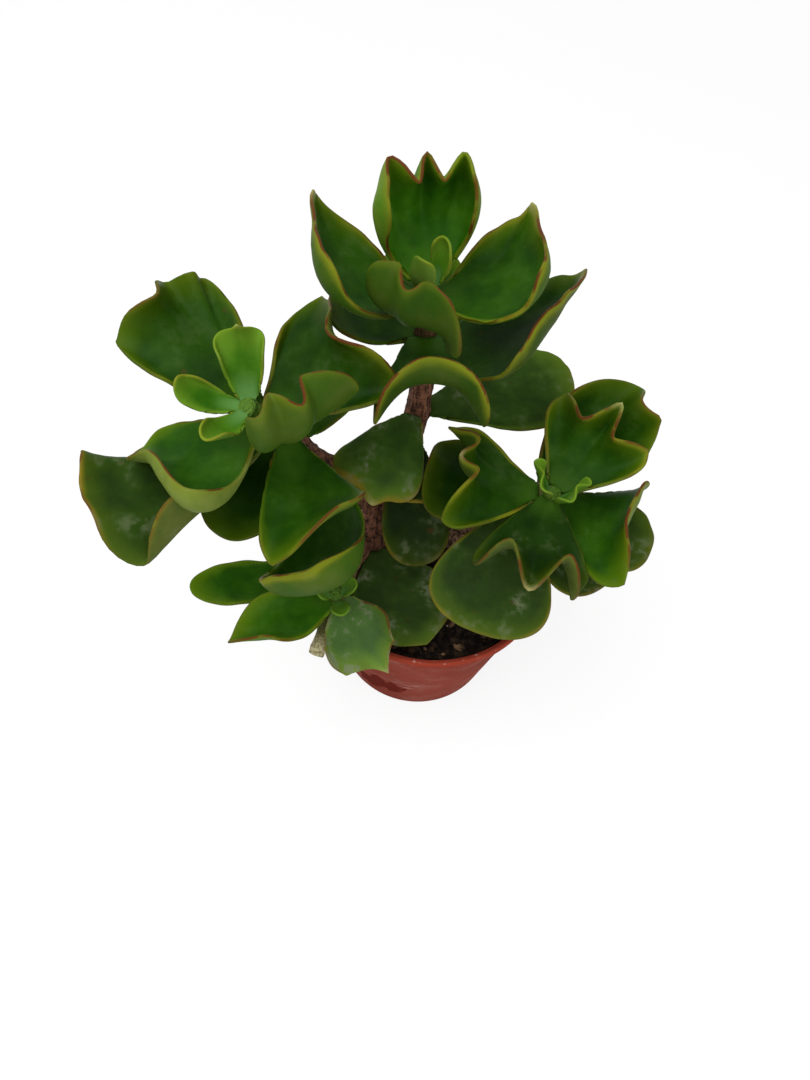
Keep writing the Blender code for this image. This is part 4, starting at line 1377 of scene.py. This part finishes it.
class Graph:
    """The node tree of one material or world, built by expressions."""

    def __init__(self, owner: bpy.types.Material | bpy.types.World) -> None:
        """Start from an empty node tree.

        Args:
            owner: The material or world that the nodes are for.
        """
        owner.use_nodes = True
        self.owner = owner
        self.tree = owner.node_tree
        self.tree.nodes.clear()

    @classmethod
    def material(cls, name: str) -> "Graph":
        """The graph of a new material of that name."""
        return cls(bpy.data.materials.new(name))

    @cached_property
    def place(self) -> Wire:
        """The object's own coordinates, in metres."""
        return self.wire(self.node("ShaderNodeTexCoord"), "Object")

    def node(
        self,
        kind: str,
        settings: dict[str, object] | None = None,
        sockets: dict[str | int, Value] | None = None,
    ) -> bpy.types.Node:
        """Add a node, set what it is, then feed its sockets.

        Args:
            kind: The node's type.
            settings: Its own settings, such as a Math node's operation.
            sockets: The value or link of each socket, by name or number.

        Returns:
            The node.
        """
        made = self.tree.nodes.new(kind)
        for name, value in (settings or {}).items():
            setattr(made, name, value)
        for name, value in (sockets or {}).items():
            socket = made.inputs[name]
            if isinstance(value, Wire):
                self.tree.links.new(value.socket, socket)
            elif isinstance(value, tuple) and socket.type == "RGBA":
                socket.default_value = (*value, 1.0)
            else:
                socket.default_value = value
        return made

    def wire(self, node: bpy.types.Node, output: str | int = 0) -> Wire:
        """One output of a node, for expressions."""
        return Wire(self, node.outputs[output])

    def maths(self, operation: str, first: Value, second: Value) -> Wire:
        """A Math node on two values."""
        return self.wire(self.node("ShaderNodeMath", {"operation": operation}, {0: first, 1: second}))

    def vector(self, operation: str, *vectors: Value) -> bpy.types.Node:
        """A Vector Math node on one or two vectors."""
        settings = {"operation": operation}
        return self.node("ShaderNodeVectorMath", settings, dict(enumerate(vectors)))

    def length(self, vector: Value) -> Wire:
        """How long a vector is."""
        return self.wire(self.vector("LENGTH", vector), "Value")

    def backdrop_share(self) -> Wire:
        """Which rays see the white backdrop.

        Returns:
            1 for camera, glossy and transmission rays, and 0 for the others.
        """
        path = self.node("ShaderNodeLightPath")
        seen = [self.wire(path, "Is %s Ray" % kind) for kind in ("Camera", "Glossy", "Transmission")]
        return self.maths("MAXIMUM", self.maths("MAXIMUM", seen[0], seen[1]), seen[2])

    def blend(self, share: Value, first: bpy.types.Node, second: bpy.types.Node) -> Wire:
        """A Mix Shader node: the first surface at share 0 and the second at 1."""
        sockets = {0: share, 1: self.wire(first), 2: self.wire(second)}
        return self.wire(self.node("ShaderNodeMixShader", None, sockets))

    def mark(self, name: str) -> Wire:
        """A shading attribute of the mesh."""
        return self.wire(self.node("ShaderNodeAttribute", {"attribute_name": name}), "Fac")

    def stretched(self, scale: Colour, offset: Colour = (0.0, 0.0, 0.0)) -> Wire:
        """Object coordinates moved by the offset, in metres, then stretched along each axis."""
        moved = self.wire(self.vector("ADD", self.place, offset))
        return self.wire(self.vector("MULTIPLY", moved, scale))

    def noise(
        self, scale: float, detail: float = 2.0, place: Wire | None = None, warp: float = 0.0
    ) -> Wire:
        """Noise from 0 to 1 over the object.

        Args:
            scale: Lumps per metre, or per unit of the given place.
            detail: How many finer layers it has.
            place: Other coordinates, if not the object's.
            warp: How far it is distorted.

        Returns:
            The noise.
        """
        sockets = {"Vector": place or self.place, "Scale": scale, "Detail": detail}
        made = self.node("ShaderNodeTexNoise", None, {**sockets, "Distortion": warp})
        return self.wire(made, "Fac")

    def dots(self, scale: float, radius: float, keep: float) -> Wire:
        """Round dots in some of the cells of a random pattern.

        Args:
            scale: Cells per metre.
            radius: The size of a dot, as a share of its cell.
            keep: The share of cells that have one.

        Returns:
            1 inside a dot and 0 outside.
        """
        cell = self.node("ShaderNodeTexVoronoi", None, {"Vector": self.place, "Scale": scale})
        inside = 1 - self.wire(cell, "Distance").graded(radius * 0.5, radius)
        split = self.node("ShaderNodeSeparateColor", None, {0: self.wire(cell, "Color")})
        chosen = 1 - self.wire(split).graded(keep - 0.01, keep + 0.01)
        return inside * chosen

    def mix(self, share: Value, first: Value, second: Value) -> Wire:
        """A Mix node on two colours: the first at share 0 and the second at 1."""
        made = self.node("ShaderNodeMix", {"data_type": "RGBA"}, {0: share, 6: first, 7: second})
        return self.wire(made, 2)

    def finish(
        self, colour: Wire, roughness: Wire, height: Wire, finish: Finish
    ) -> bpy.types.Material:
        """Close the graph with a Principled surface and a bump.

        Args:
            colour: The base colour.
            roughness: The roughness.
            height: The bump's height, from about 0 to 1.
            finish: The finish that says how deep the bump is and how strongly it reflects.

        Returns:
            The finished material.
        """
        settings = {"Strength": 1.0, "Distance": finish.relief, "Height": height}
        bump = self.wire(self.node("ShaderNodeBump", None, settings))
        sockets = {"Specular IOR Level": finish.specular, "Base Color": colour}
        sockets |= {"Roughness": roughness, "Normal": bump}
        shader = self.node("ShaderNodeBsdfPrincipled", None, sockets)
        self.node("ShaderNodeOutputMaterial", None, {"Surface": self.wire(shader)})
        return self.owner


def leaf_material(name: str, skin: LeafSkin, seed: int) -> bpy.types.Material:
    """The greens carry painted light and painted shade by the leaf's shade, and painted light
    brightens them towards the margin.

    Args:
        name: The material's name.
        skin: The finish.
        seed: Which leaf, so that no two are mottled alike.

    Returns:
        The material.
    """
    graph = Graph.material(name)
    graph.place = graph.stretched((1.0, 1.0, 1.0), (seed * 0.37, seed * 0.19, seed * 0.53))
    margin, upper = graph.mark("margin_mm"), graph.mark("upper")
    reach, tip, rolled = graph.mark("reach"), graph.mark("tip"), graph.mark("rolled")
    broad, middling, fine = graph.noise(70, 3), graph.noise(260, 3), graph.noise(1500, 2)

    # Painted light and shade: each leaf's greens are scaled by its shade, partly for its own tone.
    deep, body, bright, under = (
        tuple(part * skin.shade for part in colour)
        for colour in (skin.deep, skin.body, skin.bright, skin.under)
    )
    face = graph.mix(broad.graded(0.32, 0.68) * 0.8 + middling.graded(0.35, 0.65) * 0.2, deep, body)
    # Painted light: the face turns bright towards the margin, where light shines through the thin
    # blade.
    painted_edge_light = 1 - (margin / (7.0 + 9.0 * broad)).graded(0.0, 1.0)
    face = graph.mix(painted_edge_light * reach.graded(0.2, 0.7), face, bright)
    face = graph.mix((1 - reach.graded(0.0, skin.base_reach)) * 0.85, face, skin.base)
    back = graph.mix(broad.graded(0.3, 0.7), body, under)
    back = graph.mix((0.35 + 0.65 * middling) * skin.frost, back, skin.frosted)
    face = graph.mix(upper.graded(0.35, 0.65), back, face)
    stretch = graph.noise(38, 2).graded(0.44, 0.62)
    width = skin.band_width * (0.3 + 1.2 * broad)
    band = (1 - (margin / width).graded(0.0, 1.0)) ** 1.3
    band = band * skin.gold * reach.graded(0.15, 0.6) * (0.12 + 0.75 * stretch + 0.65 * rolled)
    face = graph.mix(band.capped(1.0), face, skin.band)

    speck = graph.dots(700, 0.30, 0.35) * skin.specks * 0.25
    face = graph.mix(speck, face, skin.bright)
    dust = (0.05 + broad.graded(0.48, 0.75) * middling.graded(0.42, 0.62)) * skin.dust * 2.2
    dust = (dust * (0.5 + fine)).capped(0.75)
    face = graph.mix(dust, face, skin.dusted)
    scar = graph.dots(130, 0.22, 0.3) * skin.scars
    face = graph.mix(scar * 0.8, face, skin.scarred)

    patchy = graph.noise(110, 2).graded(0.38, 0.56) * 0.8 + 0.2
    patchy = patchy * (0.25 + 0.3 * stretch + 0.75 * rolled)
    line = (1 - margin.graded(0.15, 0.60)) * patchy * skin.edging * reach.graded(0.1, 0.5)
    face = graph.mix(line.capped(1.0), face, skin.line)
    face = graph.mix(tip * 0.6, face, skin.tip)

    wax = graph.noise(45, 1)
    roughness = skin.gloss_roughness + 0.16 * wax + 0.12 * (1 - upper) + 0.4 * dust + 0.2 * scar
    return graph.finish(face, roughness, 0.35 * fine + 0.65 * middling - 0.5 * scar, skin)


def stem_material(name: str, bark: BarkFinish) -> bpy.types.Material:
    """Corky bark that turns green towards the tips and is pale where it was cut.

    Args:
        name: The material's name.
        bark: The finish.

    Returns:
        The material.
    """
    graph = Graph.material(name)
    grain = graph.noise(1.0, 4, graph.stretched((900.0, 900.0, 160.0)), 0.6)
    cross = graph.noise(1.0, 3, graph.stretched((200.0, 200.0, 800.0)), 0.8)
    broad = graph.noise(140, 3)
    ridge = (grain * 0.65 + cross * 0.35).graded(0.38, 0.62)
    colour = graph.mix(ridge * (0.45 + 0.7 * broad), bark.furrow, bark.ridge)
    green = graph.mix(broad.graded(0.3, 0.7), bark.green, bark.pale_green)
    colour = graph.mix(graph.mark("green") * 0.9, colour, green)
    colour = graph.mix(graph.mark("bud"), colour, bark.bud)
    cut = graph.mix(graph.noise(700, 3).graded(0.35, 0.7), bark.cut, bark.cut_heart)
    colour = graph.mix(graph.mark("cut"), colour, cut)
    roughness = bark.roughness + 0.15 * (1 - ridge) - 0.25 * graph.mark("green")
    return graph.finish(colour, roughness, ridge * 0.7 + grain * 0.3, bark)


def pot_material(
    name: str, pot: PotFinish, smudges: list[tuple[Colour, Colour]]
) -> bpy.types.Material:
    """Scuffed moulded plastic with a redder lip and damp smudges low on its wall.

    Args:
        name: The material's name.
        pot: The finish.
        smudges: The middle and the half sizes of each damp smudge, in metres.

    Returns:
        The material.
    """
    graph = Graph.material(name)
    lip = graph.mark("lip")
    cloud, fine = graph.noise(28, 3), graph.noise(900, 2)
    colour = graph.mix(cloud.graded(0.3, 0.7), pot.deep, pot.body)
    bloom = graph.noise(90, 4, None, 0.4).graded(0.45, 0.75) * (1 - lip)
    colour = graph.mix(bloom * 0.06, colour, pot.scuff)
    long_way, short_way = (60.0, 60.0, 1500.0), (170.0, 170.0, 1900.0)
    long_streak = graph.noise(1.0, 3, graph.stretched(long_way), 0.2).graded(0.60, 0.72)
    short_streak = graph.noise(1.0, 2, graph.stretched(short_way), 0.2).graded(0.62, 0.70)
    sparse = graph.noise(45, 2).graded(0.46, 0.62)
    scuff = graph.maths("MAXIMUM", long_streak * sparse, short_streak * (0.35 + sparse) * 0.7)
    colour = graph.mix(scuff * 0.55, colour, pot.scuff)
    colour = graph.mix(lip * 0.85, colour, pot.lip)
    chips = graph.noise(1.0, 3, graph.stretched((260.0, 260.0, 900.0)), 0.3).graded(0.62, 0.72)
    colour = graph.mix(chips * lip * 0.5, colour, pot.scuff)

    ragged, damp = graph.noise(260, 4, None, 0.3), 0.0
    for middle, size in smudges:
        away = graph.stretched(tuple(1 / side for side in size), tuple(-side for side in middle))
        blob = 1 - (graph.length(away) + 1.6 * ragged).graded(1.62, 1.80)
        damp = graph.maths("MAXIMUM", damp, blob)
    colour = graph.mix(damp * 0.9, colour, pot.damp)
    roughness = pot.roughness + 0.3 * scuff + 0.1 * fine - 0.05 * damp + 0.1 * bloom
    return graph.finish(colour, roughness, 0.5 * fine + 0.8 * scuff, pot)


def soil_material(name: str, soil: SoilFinish) -> bpy.types.Material:
    """Crumbs, chips or grains, each a little lighter or darker than the next.

    Args:
        name: The material's name.
        soil: The finish.

    Returns:
        The material.
    """
    graph = Graph.material(name)
    broad, grit = graph.noise(160, 3), graph.noise(1300, 4)
    shade = graph.mark("shade") * 0.6 + grit * 0.5
    colour = graph.mix(shade.graded(0.35, 0.95), soil.dark, soil.pale)
    colour = graph.mix(broad.graded(0.45, 0.6) * soil.stain, colour, soil.stained)
    return graph.finish(colour, soil.roughness + 0.06 * grit, grit, soil)


class Lamp(Enum):
    """The soft studio lamps: place in millimetres, width in metres, watts."""

    KEY = ((-350.0, -150.0, 1000.0), 0.9, 10.0)
    FILL = ((520.0, -600.0, 700.0), 1.0, 4.0)


@dataclass
class Studio:
    """A pale floor, soft lamps, a white backdrop and the camera.

    whitening is how far from the plant, in metres, the floor turns fully white to the camera.
    """

    camera_place: tuple[float, float, float] = (-12.0, -180.0, 392.0)
    camera_pitch: float = 59.0
    camera_roll: float = 8.0
    sensor: float = 36.0
    lens: float = 27.03
    nearest: float = 0.01
    floor_half: float = 4000.0
    floor_drop: float = 0.2
    floor_whiteness: float = 0.82
    whitening: tuple[float, float] = (0.4, 1.6)
    sky: float = 0.62

    def build_world(self) -> None:
        """A soft grey sky that the backdrop rays see as white."""
        world = bpy.data.worlds.new("studio_world")
        bpy.context.scene.world = world
        graph = Graph(world)
        dome, white = (
            graph.node("ShaderNodeBackground", None, {"Color": WHITE, "Strength": strength})
            for strength in (self.sky, 1.0)
        )
        mixed = graph.blend(graph.backdrop_share(), dome, white)
        graph.node("ShaderNodeOutputWorld", None, {"Surface": mixed})

    def build_floor(self) -> None:
        """A wide pale floor that keeps the plant's shadow and is nearly white to the camera."""
        graph = Graph.material("studio_floor")
        away = graph.length(graph.place).graded(*self.whitening)
        white_share = self.floor_whiteness + (1 - self.floor_whiteness) * away
        share = graph.backdrop_share() * white_share
        grain = graph.mix(graph.noise(6, 2), (0.84, 0.84, 0.84), (0.88, 0.88, 0.88))
        matt = graph.node("ShaderNodeBsdfDiffuse", None, {"Color": grain})
        white = graph.node("ShaderNodeEmission", None, {"Color": WHITE, "Strength": 1.0})
        surface = graph.blend(share, matt, white)
        graph.node("ShaderNodeOutputMaterial", None, {"Surface": surface})
        half, low = self.floor_half * MM, -self.floor_drop * MM
        corners = [(-half, -half, low), (half, -half, low), (half, half, low), (-half, half, low)]
        mesh = bpy.data.meshes.new("studio_floor")
        mesh.from_pydata(corners, [], [(0, 1, 2, 3)])
        mesh.materials.append(graph.owner)
        floor = add_object("studio_floor", mesh)

    def build_lamps(self) -> None:
        """Large square lamps that point at the middle of the plant."""
        low, high = CAD_BOX
        middle = (low + high) / 2
        for lamp in Lamp:
            place, width, watts = lamp.value
            light = bpy.data.lights.new(lamp.name.lower() + "_lamp", "AREA")
            light.size = width
            light.energy = watts
            item = add_object(light.name, light)
            item.location = Vector(place) * MM
            item.rotation_euler = (middle - item.location).to_track_quat("-Z", "Y").to_euler()

    def build_camera(self) -> None:
        """Looking down from the front, held slightly turned about its own axis."""
        data = bpy.data.cameras.new("studio_camera")
        data.sensor_width = self.sensor
        data.lens = self.lens
        data.clip_start = self.nearest
        camera = add_object("studio_camera", data)
        down = Matrix.Rotation(math.radians(90 - self.camera_pitch), 4, "X")
        lean = Matrix.Rotation(math.radians(self.camera_roll), 4, "Z")
        camera.matrix_world = Matrix.Translation(Vector(self.camera_place) * MM) @ down @ lean
        bpy.context.scene.camera = camera

    def build(self) -> None:
        """Set up the whole studio."""
        bpy.context.scene.view_settings.view_transform = "Standard"
        self.build_world()
        self.build_floor()
        self.build_lamps()
        self.build_camera()


def main() -> None:
    """Build the pot, the soil, the stems, the leaves and the studio, in that order."""
    logging.basicConfig(level=logging.INFO, format="%(message)s")
    Pot().build()
    Soil().build()
    Stems().build()
    for seed, (name, leaf) in enumerate(LEAVES.items(), start=1):
        LeafBlade(name, leaf, seed).build()
    Studio().build()


if __name__ == "__main__":
    main()
